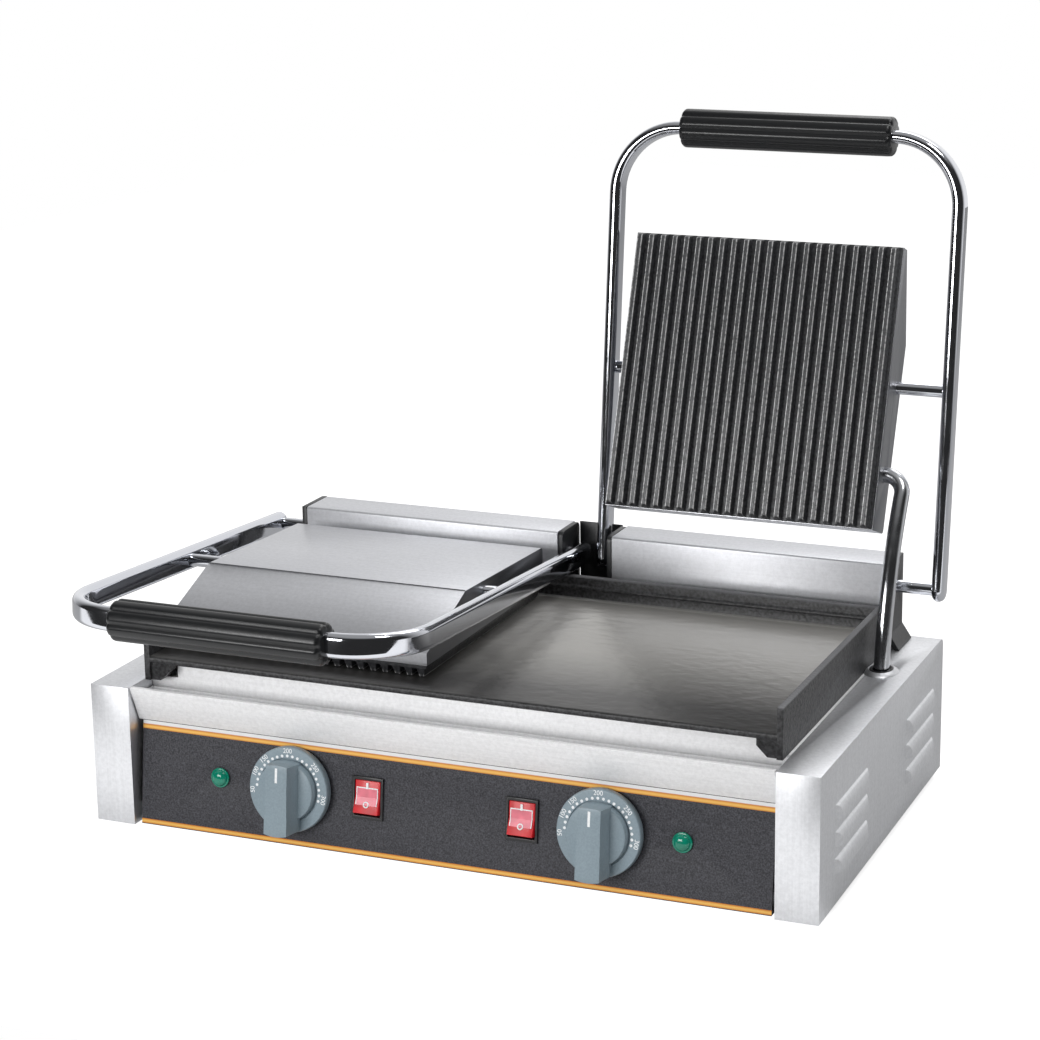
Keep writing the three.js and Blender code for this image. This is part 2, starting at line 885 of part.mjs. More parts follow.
function switchBody() {
  const bezel = block(
    [-bezelWidth / 2, bezelWidth / 2],
    [-bezelOut, -seatGap],
    [-bezelHeight / 2, bezelHeight / 2],
  );
  const housing = block(
    [-switchBodyWidth / 2, switchBodyWidth / 2],
    [-bezelOut / 2, switchDepth],
    [-switchBodyHeight / 2, switchBodyHeight / 2],
  );
  const well = block(
    [-switchWellWidth / 2, switchWellWidth / 2],
    [-bezelOut - overrun, switchWellDepth],
    [-switchWellHeight / 2, switchWellHeight / 2],
  );
  const blades = [-1, 1].map((side) =>
    block(
      [-switchBladeWidth / 2, switchBladeWidth / 2],
      [switchDepth - overrun, switchDepth + switchBladeLength],
      [
        side * switchBladeSpread - switchBladeThick / 2,
        side * switchBladeSpread + switchBladeThick / 2,
      ],
    ),
  );
  return join(cut(join(bezel, housing), well), ...blades);
}

// The rocker about its own pivot.
function rocker() {
  const front = -rockerOut - rockerPivotIn;
  const waist = -rockerWaistOut - rockerPivotIn;
  const heel = rockerHeelIn - rockerPivotIn;
  return alongX(
    [
      [front, rockerHeight / 2],
      [waist, 0],
      [front, -rockerHeight / 2],
      [0, -rockerHeight / 2],
      [heel, -rockerHeelHeight / 2],
      [heel, rockerHeelHeight / 2],
      [0, rockerHeight / 2],
    ],
    [-rockerWidth / 2, rockerWidth / 2],
  );
}

function pilotLens() {
  const rim = lensOut / 3;
  return solidOf(
    outwards([
      [0, seatGap],
      [lensRadius, seatGap],
      [lensRadius, seatGap + rim],
      [lensRadius * 0.8, lensOut * 0.75],
      [lensRadius * 0.45, lensOut * 0.94],
      [0, lensOut],
    ], roundSides),
  );
}

const pilotBody = () => rodY(pilotBodyRadius, [0, pilotBodyIn]);

function hingeBox() {
  const shell = (inset) => [
    [boxFront + inset, standing - (inset ? overrun : 0)],
    [boxFront + inset, boxTop - inset, boxRound],
    [boxBack - inset, boxTop - inset, boxRound],
    [boxBack - inset, standing - (inset ? overrun : 0)],
  ];
  const outer = alongX(shell(0), [boxInner, boxOuter]);
  const inner = alongX(shell(sheet), [boxInner - overrun, boxOuter + overrun]);
  return cut(outer, inner);
}

const shaftBore = (range) => rodX(shaftRadius + seatGap, range, hingeY, hingeZ);

function innerBracket() {
  const outer = boxInner - seatGap;
  const plate = alongX(
    [
      [boxFront + bracketInset, standing],
      [boxFront + bracketInset, boxTop, bracketRound],
      [boxBack - bracketInset, boxTop, bracketRound],
      [boxBack - bracketInset, standing],
    ],
    [outer - bracketThick, outer],
  );
  return cut(plate, shaftBore([outer - bracketThick - overrun, outer + overrun]));
}

function outerBracket() {
  const inner = boxOuter + seatGap;
  const outer = inner + bracketOuterThick;
  const crease = standing + bracketFootRise;
  const section = alongY(
    [
      [inner, boxTop],
      [inner, crease],
      [inner + bracketFootFlare, standing],
      [outer + bracketFootFlare, standing],
      [outer, crease],
      [outer, boxTop],
    ],
    [boxFront + bracketInset, boxBack - bracketInset],
  );
  return cut(section, shaftBore([inner - overrun, outer + overrun]));
}

function centreChannel() {
  const side = boxInner - seatGap - bracketThick - seatGap;
  return alongX(
    [
      [boxFront, standing],
      [boxBack, standing],
      [boxBack, boxTop],
      [boxBack - sheet, boxTop],
      [boxBack - sheet, standing + sheet],
      [boxFront, standing + sheet],
    ],
    [-side, side],
  );
}

// Torsion spring round the pivot shaft, between two straight legs.
function torsionSpring() {
  const helixPoint = (turns) => {
    const angle = 2 * Math.PI * turns;
    return new THREE.Vector3(
      springStart + springPitch * turns,
      hingeY - springRadius * Math.cos(angle),
      hingeZ + springRadius * Math.sin(angle),
    );
  };
  const count = springCurls * springSteps;
  const helix = Array.from({ length: count + 1 }, (_, step) => helixPoint(step / springSteps));
  const firstLeg = helix[0].clone().addScaledVector(axisZ, -springLeg);
  const lastLeg = helix.at(-1).clone().addScaledVector(axisZ, springLeg);
  let least = Infinity;
  helix.forEach((from, index) =>
    helix.slice(index + springSteps / 2).forEach((to) => {
      least = Math.min(least, from.distanceTo(to) - springWire);
    }),
  );
  console.log("torsion spring, least gap to itself in mm: " + least.toFixed(2));
  return tube([firstLeg, ...helix, lastLeg], ring(springWire / 2, springSides));
}

// The lid turns about the hinge. In its frame the arms run towards -Y and Z is square to them.
function handleBar() {
  const [inner, outer, top] = [armInner, armOuter, -armLength];
  const at = (x, y) => new THREE.Vector3(x, y, 0);
  const stations = [
    at(inner, 0),
    at(inner, top + barBend),
    ...arcStations(
      at(inner + barBend, top + barBend),
      new THREE.Vector3(-1, 0, 0),
      new THREE.Vector3(0, -1, 0),
      barBend,
      Math.PI / 2,
      barBendSteps,
    ),
    at(outer - barBend, top),
    ...arcStations(
      at(outer - barBend, top + barBend),
      new THREE.Vector3(0, -1, 0),
      axisX,
      barBend,
      Math.PI / 2,
      barBendSteps,
    ),
    at(outer, 0),
  ];
  const bar = tube(stations, pill(barWide, barThin));
  const roundEnd = (x) => {
    const half = pill(barWide, barThin).filter(({ x: wide }) => wide > 0);
    const rim = half.map(({ x: wide, y }) => [wide, y]).sort((one, two) => one[1] - two[1]);
    const [low, high] = [rim[0][1], rim.at(-1)[1]];
    const disc = turned([[0, low], ...rim, [0, high]], roundSides);
    return solidOf(disc.rotateZ(Math.PI / 2).translate(x, 0, 0));
  };
  const pinHole = (y) =>
    rodX(shaftRadius + seatGap, [inner + barThin / 2 - pinDepth, outer - barThin / 2 + pinDepth], y);
  return cut(join(bar, roundEnd(inner), roundEnd(outer)), pinHole(0), pinHole(-tiltRodReach));
}

const pinRange = [
  armInner + barThin / 2 - pinDepth + seatGap,
  armOuter - barThin / 2 + pinDepth - seatGap,
];
const pivotShaft = () => rodX(shaftRadius, pinRange);
const tiltRod = () => rodX(tiltRodRadius, pinRange, -tiltRodReach);

function grip() {
  const middle = (armInner + armOuter) / 2;
  const count = gripFlutes * gripFlutePoints;
  const lobes = Array.from({ length: count }, (_, index) => {
    const angle = (2 * Math.PI * index) / count;
    const flute = ((1 + Math.cos(gripFlutes * angle)) / 2) ** 4;
    const radius = gripRadius - gripEndRound - gripFluteDepth * flute;
    return new THREE.Vector2(radius * Math.cos(angle), radius * Math.sin(angle));
  });
  const geometry = new THREE.ExtrudeGeometry(new THREE.Shape(lobes), {
    depth: gripLength - 2 * gripEndRound,
    bevelThickness: gripEndRound,
    bevelSize: gripEndRound,
    bevelSegments: 3,
  });
  geometry.translate(0, 0, gripEndRound - gripLength / 2).applyMatrix4(fromYZ);
  const form = solidOf(geometry.translate(middle, -armLength, 0));
  const [halfThin, halfWide] = [barThin / 2 + seatGap, barWide / 2 + seatGap];
  const bore = alongX(
    [
      [-armLength - halfThin, -halfWide, barThin / 2],
      [-armLength + halfThin, -halfWide, barThin / 2],
      [-armLength + halfThin, halfWide, barThin / 2],
      [-armLength - halfThin, halfWide, barThin / 2],
    ],
    [middle - gripLength, middle + gripLength],
  );
  return cut(form, bore);
}

// The upper plate tilts about its rod. Places in it are told from its rear edge and rib tips.
const plateY = (fromRear) => plateRodFromRear - fromRear;
const plateZ = (rise) => rise - plateRodRise;

function upperPlate() {
  const comb = [];
  for (let rib = 0; rib < ribCount; rib += 1) {
    const middle = plateCentre + ribPitch * (rib - (ribCount - 1) / 2);
    comb.push(
      [middle - ribFoot / 2, plateZ(ribHeight)],
      [middle - ribCrest / 2, plateZ(0)],
      [middle + ribCrest / 2, plateZ(0)],
      [middle + ribFoot / 2, plateZ(ribHeight)],
    );
  }
  const [low, high] = [plateCentre - plateHalf, plateCentre + plateHalf];
  const outline = [
    [low, plateZ(shoulderHeight)],
    [low + plateDraft / 2, plateZ(ribHeight)],
    ...comb,
    [high - plateDraft / 2, plateZ(ribHeight)],
    [high, plateZ(shoulderHeight)],
    [high - shoulderInset, plateZ(shoulderHeight)],
    [high - shoulderInset, plateZ(plateHeight)],
    [low + shoulderInset, plateZ(plateHeight)],
    [low + shoulderInset, plateZ(shoulderHeight)],
  ];
  const casting = alongY(outline, [plateY(plateLength), plateY(0)]);
  const side = alongX(
    [
      [plateY(0) - ribEndSlope, plateZ(0)],
      [plateY(0), plateZ(ribHeight)],
      [plateY(0), plateZ(shoulderHeight)],
      [plateY(shoulderInset), plateZ(shoulderHeight)],
      [plateY(shoulderInset), plateZ(plateHeight)],
      [plateY(plateLength - shoulderInset - frontBevelRun), plateZ(plateHeight)],
      [plateY(plateLength - shoulderInset), plateZ(plateHeight - frontBevelDrop)],
      [plateY(plateLength - shoulderInset), plateZ(shoulderHeight)],
      [plateY(plateLength), plateZ(shoulderHeight)],
      [plateY(plateLength), plateZ(ribHeight)],
      [plateY(plateLength) + ribEndSlope, plateZ(0)],
    ],
    [low - overrun, high + overrun],
  );
  const pocket = block(
    [low + shoulderInset + rimWidth, high - shoulderInset - rimWidth],
    [plateY(plateLength - shoulderInset - rimWidth), plateY(shoulderInset + rimWidth)],
    [plateZ(plateHeight - elementPocket), plateZ(plateHeight + overrun)],
  );
  const ear = (from, to) =>
    alongX(
      [
        [-earHalf, plateZ(plateHeight - elementPocket)],
        [-earHalf, plateZ(plateHeight)],
        [-earRadius, -earRadius / 2],
        [-earRadius, earRadius, earRadius * pillRoundShare],
        [earRadius, earRadius, earRadius * pillRoundShare],
        [earRadius, -earRadius / 2],
        [earHalf, plateZ(plateHeight)],
        [earHalf, plateZ(plateHeight - elementPocket)],
      ],
      [from, to],
    );
  const ears = [
    ear(low + shoulderInset, low + shoulderInset + rimWidth),
    ear(high - shoulderInset - rimWidth, high - shoulderInset),
  ];
  const bore = rodX(tiltRodRadius + seatGap, [low - overrun, high + overrun]);
  return cut(join(cut(casting.intersect(side), pocket), ...ears), bore);
}

function upperCover() {
  const shell = (inset) => {
    const low = inset ? plateZ(0) : plateZ(shoulderHeight + seatGap);
    return [
      [plateY(-lidCoverProud) - inset, low],
      [plateY(-lidCoverProud) - inset, plateZ(lidCoverRearHeight) - inset, lidCoverFold],
      [plateY(lidCoverCreaseRun), plateZ(lidCoverCreaseHeight) - inset],
      [plateY(plateLength + lidCoverProud) + inset, plateZ(lidCoverFrontHeight) - inset],
      [plateY(plateLength + lidCoverProud) + inset, low],
    ];
  };
  const [low, high] = [plateCentre - lidCoverHalf, plateCentre + lidCoverHalf];
  const outer = alongX(shell(0), [low, high]);
  const inner = alongX(shell(sheet), [low + sheet, high - sheet]);
  const rodHoles = rodX(tiltRodRadius + seatGap, [low - overrun, high + overrun]);
  const conduitHole = rodX(
    conduitRadius + seatGap,
    [high - overrun, high + overrun],
    plateY(conduitFromRear),
    plateZ(conduitRise),
  );
  return cut(outer, inner, rodHoles, conduitHole);
}

// A heating element's route: runs to and fro with half-round ends.
function elementTube() {
  const radius = elementSpread / 2;
  const straight = elementLength / 2 - radius;
  const stations = [];
  for (let run = 0; run < elementRuns; run += 1) {
    const x = elementSpread * (run - (elementRuns - 1) / 2);
    const side = run % 2 === 0 ? 1 : -1;
    stations.push(new THREE.Vector3(x, -side * straight, 0), new THREE.Vector3(x, side * straight, 0));
    if (run === elementRuns - 1) break;
    const centre = new THREE.Vector3(x + radius, side * straight, 0);
    const away = new THREE.Vector3(0, side, 0);
    const back = new THREE.Vector3(-1, 0, 0);
    const arc = arcStations(centre, back, away, radius, Math.PI, elementBendSteps);
    stations.push(...arc.slice(0, -1));
  }
  return geometryOf(tube(stations, ring(elementRadius, elementSides)));
}

// The conduit about its pivot in the lid's side, as it lies with the lid shut.
function conduit() {
  const heading = new THREE.Vector3(0, -Math.sin(conduitLeanShut), -Math.cos(conduitLeanShut));
  const forward = new THREE.Vector3(0, -Math.cos(conduitLeanShut), Math.sin(conduitLeanShut));
  const elbowCentre = new THREE.Vector3(conduitX - conduitElbow, 0, 0).addScaledVector(
    heading,
    conduitElbow,
  );
  const elbow = arcStations(
    elbowCentre,
    heading.clone().negate(),
    axisX,
    conduitElbow,
    Math.PI / 2,
    conduitElbowSteps,
  );
  const bendStart = elbow.at(-1).clone().addScaledVector(heading, conduitStraight);
  const bendCentre = bendStart.clone().addScaledVector(forward, -conduitBend);
  const bend = arcStations(
    bendCentre,
    forward,
    heading,
    conduitBend,
    (conduitLength - conduitElbow - conduitStraight) / conduitBend,
    conduitBendSteps,
  );
  const inLid = plateCentre + lidCoverHalf - sheet - conduitStub;
  const stations = [
    new THREE.Vector3(inLid, 0, 0),
    new THREE.Vector3(conduitX - conduitElbow, 0, 0),
    ...elbow,
    bendStart,
    ...bend,
  ];
  return tube(stations, ring(conduitRadius, conduitSides));
}

function terminalBlock() {
  const base = block(
    [terminalX - terminalLength / 2, terminalX + terminalLength / 2],
    [terminalY - terminalDepth / 2, terminalY + terminalDepth / 2],
    [sheet + seatGap, sheet + seatGap + terminalHeight],
  );
  const top = sheet + seatGap + terminalHeight;
  const posts = Array.from({ length: terminalPosts }, (_, index) => {
    const x = terminalX + (terminalLength / terminalPosts) * (index - (terminalPosts - 1) / 2);
    return rodZ(terminalPostRadius, [top - overrun, top + terminalPostHeight], x, terminalY, 12);
  });
  return join(base, ...posts);
}

function cableGland() {
  const out = rearFace + seatGap;
  const form = solidOf(
    turned([
      [glandBore, rearFace - glandInside],
      [glandNeck, rearFace - glandInside],
      [glandNeck, out],
      [glandFlange, out],
      [glandFlange, out + glandFlangeLength],
      [glandDome, out + glandFlangeLength],
      [glandDome - footTaper, out + glandLength],
      [glandBore, out + glandLength],
      [glandBore, rearFace - glandInside],
    ], roundSides).translate(glandX, 0, glandZ),
  );
  return form;
}

place(body, "bottom_pan", bottomPan(), galvanised);
place(body, "front_panel", frontPanel(), panelPaint);
place(body, "rear_panel", rearPanel(), steel);
place(body, "top_frame", topFrame(), steel);
place(body, "lower_plate", lowerPlate(), seasonedIron);
place(body, "drip_tray", dripTray(), steel);
place(body, "center_channel", centreChannel(), blackPaint);
place(body, "terminal_block", terminalBlock(), ceramic);
place(body, "cable_gland", cableGland(), blackPlastic);

// One side of the grill, with its lid swung open by a share of its swing.
function station(name, side, open) {
  const half = halfOf(body, side);
  const controls = halfOf(panelPlane, side);
  place(half, name + "_end_cover", endCover(), steel);
  place(half, name + "_conduit_bush", conduitBush(), blackPlastic);
  [
    ["front", footInsetFront],
    ["rear", bodyDepth - footInsetBack],
  ].forEach(([end, y]) => {
    const mesh = place(half, name + "_" + end + "_foot", foot(), rubber);
    mesh.geometry.rotateX(Math.PI / 2);
    mesh.position.set(innerSide - footInsetX, y, 0);
  });

  const lowerElement = elementTube().translate(
    lowerElementX,
    lowerElementY,
    plateFloor - plateThick - seatGap - elementRadius,
  );
  place(half, name + "_lower_element", solidOf(lowerElement), elementSheath);

  const dial = new THREE.Group();
  dial.position.set(knobX, 0, controlRise);
  controls.add(dial);
  place(dial, name + "_knob", knob(), knobPlastic);
  place(dial, name + "_spindle", spindle(), galvanised);
  place(dial, name + "_thermostat", thermostat(), galvanised);

  const rockerSwitch = new THREE.Group();
  rockerSwitch.position.set(rockerX, 0, controlRise);
  controls.add(rockerSwitch);
  place(rockerSwitch, name + "_switch_body", switchBody(), blackPlastic);
  const paddle = place(rockerSwitch, name + "_rocker", rocker(), redPlastic);
  paddle.position.y = rockerPivotIn;
  paddle.rotation.x = -rockerTilt;

  const pilot = new THREE.Group();
  pilot.position.set(pilotX, 0, controlRise);
  controls.add(pilot);
  place(pilot, name + "_pilot_lens", pilotLens(), greenLens);
  place(pilot, name + "_pilot_body", pilotBody(), blackPlastic);

  place(half, name + "_hinge_box", hingeBox(), steel);
  place(half, name + "_inner_bracket", innerBracket(), blackPaint);
  place(half, name + "_outer_bracket", outerBracket(), blackPaint);
  place(half, name + "_torsion_spring", torsionSpring(), springSteel);

  const lid = new THREE.Group();
  lid.position.set(0, hingeY, hingeZ);
  lid.rotation.x = -armRise - lidSwing * open;
  half.add(lid);
  place(lid, name + "_handle_bar", handleBar(), chrome);
  place(lid, name + "_grip", grip(), blackPlastic);
  place(lid, name + "_pivot_shaft", pivotShaft(), chrome);
  place(lid, name + "_tilt_rod", tiltRod(), chrome);

  const plate = new THREE.Group();
  plate.position.set(0, -tiltRodReach, 0);
  plate.rotation.x = armRise - (plateSwing - lidSwing) * open;
  lid.add(plate);
  place(plate, name + "_upper_plate", upperPlate(), castIron);
  place(plate, name + "_upper_cover", upperCover(), steel);
  const pocketFloor = plateZ(plateHeight - elementPocket);
  const upperElement = elementTube().translate(
    plateCentre,
    plateY(upperElementRear + elementLength / 2),
    pocketFloor + seatGap + elementRadius,
  );
  place(plate, name + "_upper_element", solidOf(upperElement), elementSheath);

  const pipe = new THREE.Group();
  pipe.position.set(0, plateY(conduitFromRear), plateZ(conduitRise));
  pipe.rotation.x = (plateSwing - (conduitLeanOpen - conduitLeanShut)) * open;
  plate.add(pipe);
  place(pipe, name + "_conduit", conduit(), chrome);
}
station("left", -1, 0);
station("right", 1, 1);

const group = new THREE.Group();
group.add(body);

export default group;
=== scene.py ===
import math

import bmesh
import bpy
from mathutils import Matrix, Vector


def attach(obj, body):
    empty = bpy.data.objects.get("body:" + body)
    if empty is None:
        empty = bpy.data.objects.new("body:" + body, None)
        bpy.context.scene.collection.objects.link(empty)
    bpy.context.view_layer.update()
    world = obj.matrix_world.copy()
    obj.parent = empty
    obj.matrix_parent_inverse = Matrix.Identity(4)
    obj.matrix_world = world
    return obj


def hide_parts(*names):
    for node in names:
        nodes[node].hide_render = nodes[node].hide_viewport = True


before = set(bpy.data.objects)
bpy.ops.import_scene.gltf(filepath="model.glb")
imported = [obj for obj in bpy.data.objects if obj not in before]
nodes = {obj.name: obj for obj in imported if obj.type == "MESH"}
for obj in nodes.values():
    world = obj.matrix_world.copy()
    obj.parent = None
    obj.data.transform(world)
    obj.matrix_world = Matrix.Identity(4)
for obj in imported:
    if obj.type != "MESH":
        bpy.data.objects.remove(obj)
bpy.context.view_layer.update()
mm = 0.001  # sizes below are in millimetres, the scene's are in metres

# The grill's own frame: the end covers' front lower edge lies here in the CAD frame.
grill = {"y": -150.825, "z": 8.0, "hingeY": 303.3, "hingeZ": 154.5}
lidAngle = {"left": 3.6, "right": 96.7}  # degrees from the front, about the hinge
plateAngle = {"left": 0.0, "right": 110.0}
conduitAngle = {"left": 0.0, "right": 47.6}
sideSign = {"left": -1, "right": 1}
panel = {"run": 9.5, "height": 80.0, "foot": 4.5}
tiltRod = {"reach": 154.2, "radius": 5.0, "length": 280.6}
plate = {"centre": 137.0, "underside": -36.3, "rear": 112.7}  # about the tilt rod


def baseMatrix():
    return Matrix.Scale(mm, 4) @ Matrix.Translation((0, grill["y"], grill["z"]))


def lidMatrix(side):
    turn = Matrix.Rotation(-math.radians(lidAngle[side]), 4, "X")
    return baseMatrix() @ Matrix.Translation((0, grill["hingeY"], grill["hingeZ"])) @ turn


def plateMatrix(side):
    turn = math.radians(lidAngle[side] - plateAngle[side])
    reach = Matrix.Translation((0, -tiltRod["reach"], 0))
    return lidMatrix(side) @ reach @ Matrix.Rotation(turn, 4, "X")


def panelMatrix():
    lean = Matrix.Rotation(-math.atan2(panel["run"], panel["height"]), 4, "X")
    return baseMatrix() @ Matrix.Translation((0, panel["foot"], 0)) @ lean


# Selecting and finishing


def deselectAll():
    for item in bpy.context.selected_objects:
        item.select_set(False)


def makeActive(piece):
    deselectAll()
    piece.select_set(True)
    bpy.context.view_layer.objects.active = piece


def enterEdit(piece):
    makeActive(piece)
    bpy.ops.object.mode_set(mode="EDIT")
    bpy.ops.mesh.select_all(action="DESELECT")


def leaveEdit():
    bpy.ops.object.mode_set(mode="OBJECT")


def pick(piece, test, kind="VERT"):
    bpy.ops.mesh.select_mode(type=kind)
    bpy.ops.mesh.select_all(action="DESELECT")
    mesh = bmesh.from_edit_mesh(piece.data)
    group = {"VERT": mesh.verts, "EDGE": mesh.edges, "FACE": mesh.faces}[kind]
    for item in group:
        item.select_set(bool(test(item)))
    mesh.select_flush_mode()
    bmesh.update_edit_mesh(piece.data)


def middle(item):
    return sum((corner.co for corner in item.verts), Vector()) / len(item.verts)


def applyModifier(piece, kind, **settings):
    makeActive(piece)
    modifier = piece.modifiers.new(kind.lower(), kind)
    for name, value in settings.items():
        setattr(modifier, name, value)
    bpy.ops.object.modifier_apply(modifier=modifier.name)


def placeMesh(piece, matrix):
    piece.data.transform(matrix)
    if matrix.determinant() < 0:
        enterEdit(piece)
        bpy.ops.mesh.select_all(action="SELECT")
        bpy.ops.mesh.normals_make_consistent(inside=False)
        leaveEdit()


def copyOf(piece, name):
    twin = piece.copy()
    twin.data = piece.data.copy()
    twin.name = name
    bpy.context.scene.collection.objects.link(twin)
    return twin


def coat(piece, material):
    piece.data.materials.clear()
    piece.data.materials.append(material)


def finishPiece(piece, name, body, material, replaced=(), smooth=30):
    # Smooths edges flatter than this angle, and says what the piece rides on and replaces.
    piece.name = name
    piece.data.name = name
    coat(piece, material)
    makeActive(piece)
    bpy.ops.object.shade_smooth_by_angle(angle=math.radians(smooth))
    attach(piece, body)
    if replaced:
        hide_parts(*replaced)
    return piece


def softenedCopy(node, width):
    # A CAD node's mesh with its doubles merged and its sharp edges rounded to this width.
    piece = copyOf(nodes[node], node + "_soft")
    piece.parent = None
    for key in list(piece.keys()):
        del piece[key]
    enterEdit(piece)
    bpy.ops.mesh.select_all(action="SELECT")
    bpy.ops.mesh.remove_doubles(threshold=0.00001)
    bpy.ops.mesh.dissolve_limited(angle_limit=math.radians(0.4))
    leaveEdit()
    applyModifier(
        piece,
        "BEVEL",
        width=width * mm,
        segments=2,
        limit_method="ANGLE",
        angle_limit=math.radians(25),
        use_clamp_overlap=True,
        harden_normals=False,
    )
    return piece


# Materials


def linear(code):
    values = [int(code[at : at + 2], 16) / 255 for at in (1, 3, 5)]
    bent = [v / 12.92 if v <= 0.04045 else ((v + 0.055) / 1.055) ** 2.4 for v in values]
    return (*bent, 1.0)


def shaded(code, share):
    return (*(Vector(linear(code)[:3]) * share), 1.0)


def newMaterial(name):
    material = bpy.data.materials.new(name)
    material.use_nodes = True
    return material, material.node_tree, material.node_tree.nodes["Principled BSDF"]


def fillInputs(tree, node, values=None, links=None):
    # A link's source is a socket, or a node, which then gives its first output.
    for socket, value in (values or {}).items():
        node.inputs[socket].default_value = value
    for socket, source in (links or {}).items():
        tree.links.new(getattr(source, "outputs", [source])[0], node.inputs[socket])


def addNode(tree, kind, settings=None, values=None, links=None, stops=()):
    node = tree.nodes.new("ShaderNode" + kind)
    for name, value in (settings or {}).items():
        setattr(node, name, value)
    fillInputs(tree, node, values, links)
    band = node.color_ramp.elements if stops else ()
    while len(band) < len(stops):
        band.new(0.5)
    for element, (place, colour) in zip(band, stops):
        element.position = place
        element.color = colour
    return node


def brushedStainless(name, code, along, roughness=0.4, grain=0.2, metal=0.9, sides=None):
    # Stainless sheet with a satin finish: fine parallel lines under small cloudy specks.
    # With sides given, faces that point sideways take that darker colour as painted shade.
    material, tree, shader = newMaterial(name)
    place = addNode(tree, "TexCoord").outputs["Object"]
    # lines 1.4 mm wide and 110 mm long, coarser than real ones so that they show
    stretch = {"X": (9, 700, 700), "Z": (700, 700, 9)}[along]
    spread = addNode(tree, "Mapping", values={"Scale": stretch}, links={"Vector": place})
    lines = addNode(
        tree,
        "TexNoise",
        values={"Scale": 1.0, "Detail": 3.0, "Roughness": 0.6},
        links={"Vector": spread},
    )
    specks = addNode(
        tree,
        "TexNoise",
        values={"Scale": 330.0, "Detail": 3.0, "Roughness": 0.7},  # specks of about 3 mm
        links={"Vector": place},
    )
    clouds = addNode(
        tree,
        "TexNoise",
        values={"Scale": 12.0, "Detail": 2.0},  # wiped patches of about 80 mm
        links={"Vector": place},
    )
    mixed = addNode(
        tree, "Math", {"operation": "MULTIPLY_ADD"}, {1: 2.0}, {0: specks, 2: lines}
    )
    even = addNode(
        tree, "MapRange", values={"From Min": 0.9, "From Max": 2.1}, links={"Value": mixed}
    )
    shade = addNode(
        tree,
        "ValToRGB",
        links={"Fac": even},
        stops=[(0.2, shaded(code, 0.93)), (0.8, shaded(code, 1.06))],
    ).outputs["Color"]
    # painted shade: faces that point sideways are darkened towards the sides colour
    if sides:
        normal = addNode(tree, "NewGeometry").outputs["Normal"]
        facing = addNode(tree, "SeparateXYZ", links={"Vector": normal})
        across = addNode(
            tree, "Math", {"operation": "ABSOLUTE"}, links={0: facing.outputs["X"]}
        )
        sideShade = addNode(
            tree, "MapRange", values={"From Min": 0.6, "From Max": 0.9}, links={"Value": across}
        )
        shade = addNode(
            tree,
            "Mix",
            {"data_type": "RGBA"},
            {7: linear(sides)},
            {"Factor": sideShade, 6: shade},
        ).outputs[2]
    haze = addNode(
        tree,
        "MapRange",
        values={
            "From Min": 0.3,
            "From Max": 0.7,
            "To Min": roughness - 0.02,
            "To Max": roughness + 0.03,
        },
        links={"Value": clouds},
    )
    relief = addNode(
        tree, "Bump", values={"Strength": grain, "Distance": 0.00005}, links={"Height": even}
    )
    fillInputs(
        tree,
        shader,
        {"Metallic": metal},
        {"Base Color": shade, "Roughness": haze, "Normal": relief},
    )
    return material


def polishedChrome(name, code="#D3D5DB", smoothest=0.05, dullest=0.14):
    # Bright plate on steel tube, mirror-like with a trace of haze from handling.
    material, tree, shader = newMaterial(name)
    place = addNode(tree, "TexCoord").outputs["Object"]
    smears = addNode(
        tree,
        "TexNoise",
        values={"Scale": 40.0, "Detail": 3.0},  # finger marks of about 25 mm
        links={"Vector": place},
    )
    haze = addNode(
        tree,
        "MapRange",
        values={"From Min": 0.35, "From Max": 0.7, "To Min": smoothest, "To Max": dullest},
        links={"Value": smears},
    )
    fillInputs(
        tree, shader, {"Base Color": linear(code), "Metallic": 1.0}, {"Roughness": haze}
    )
    return material


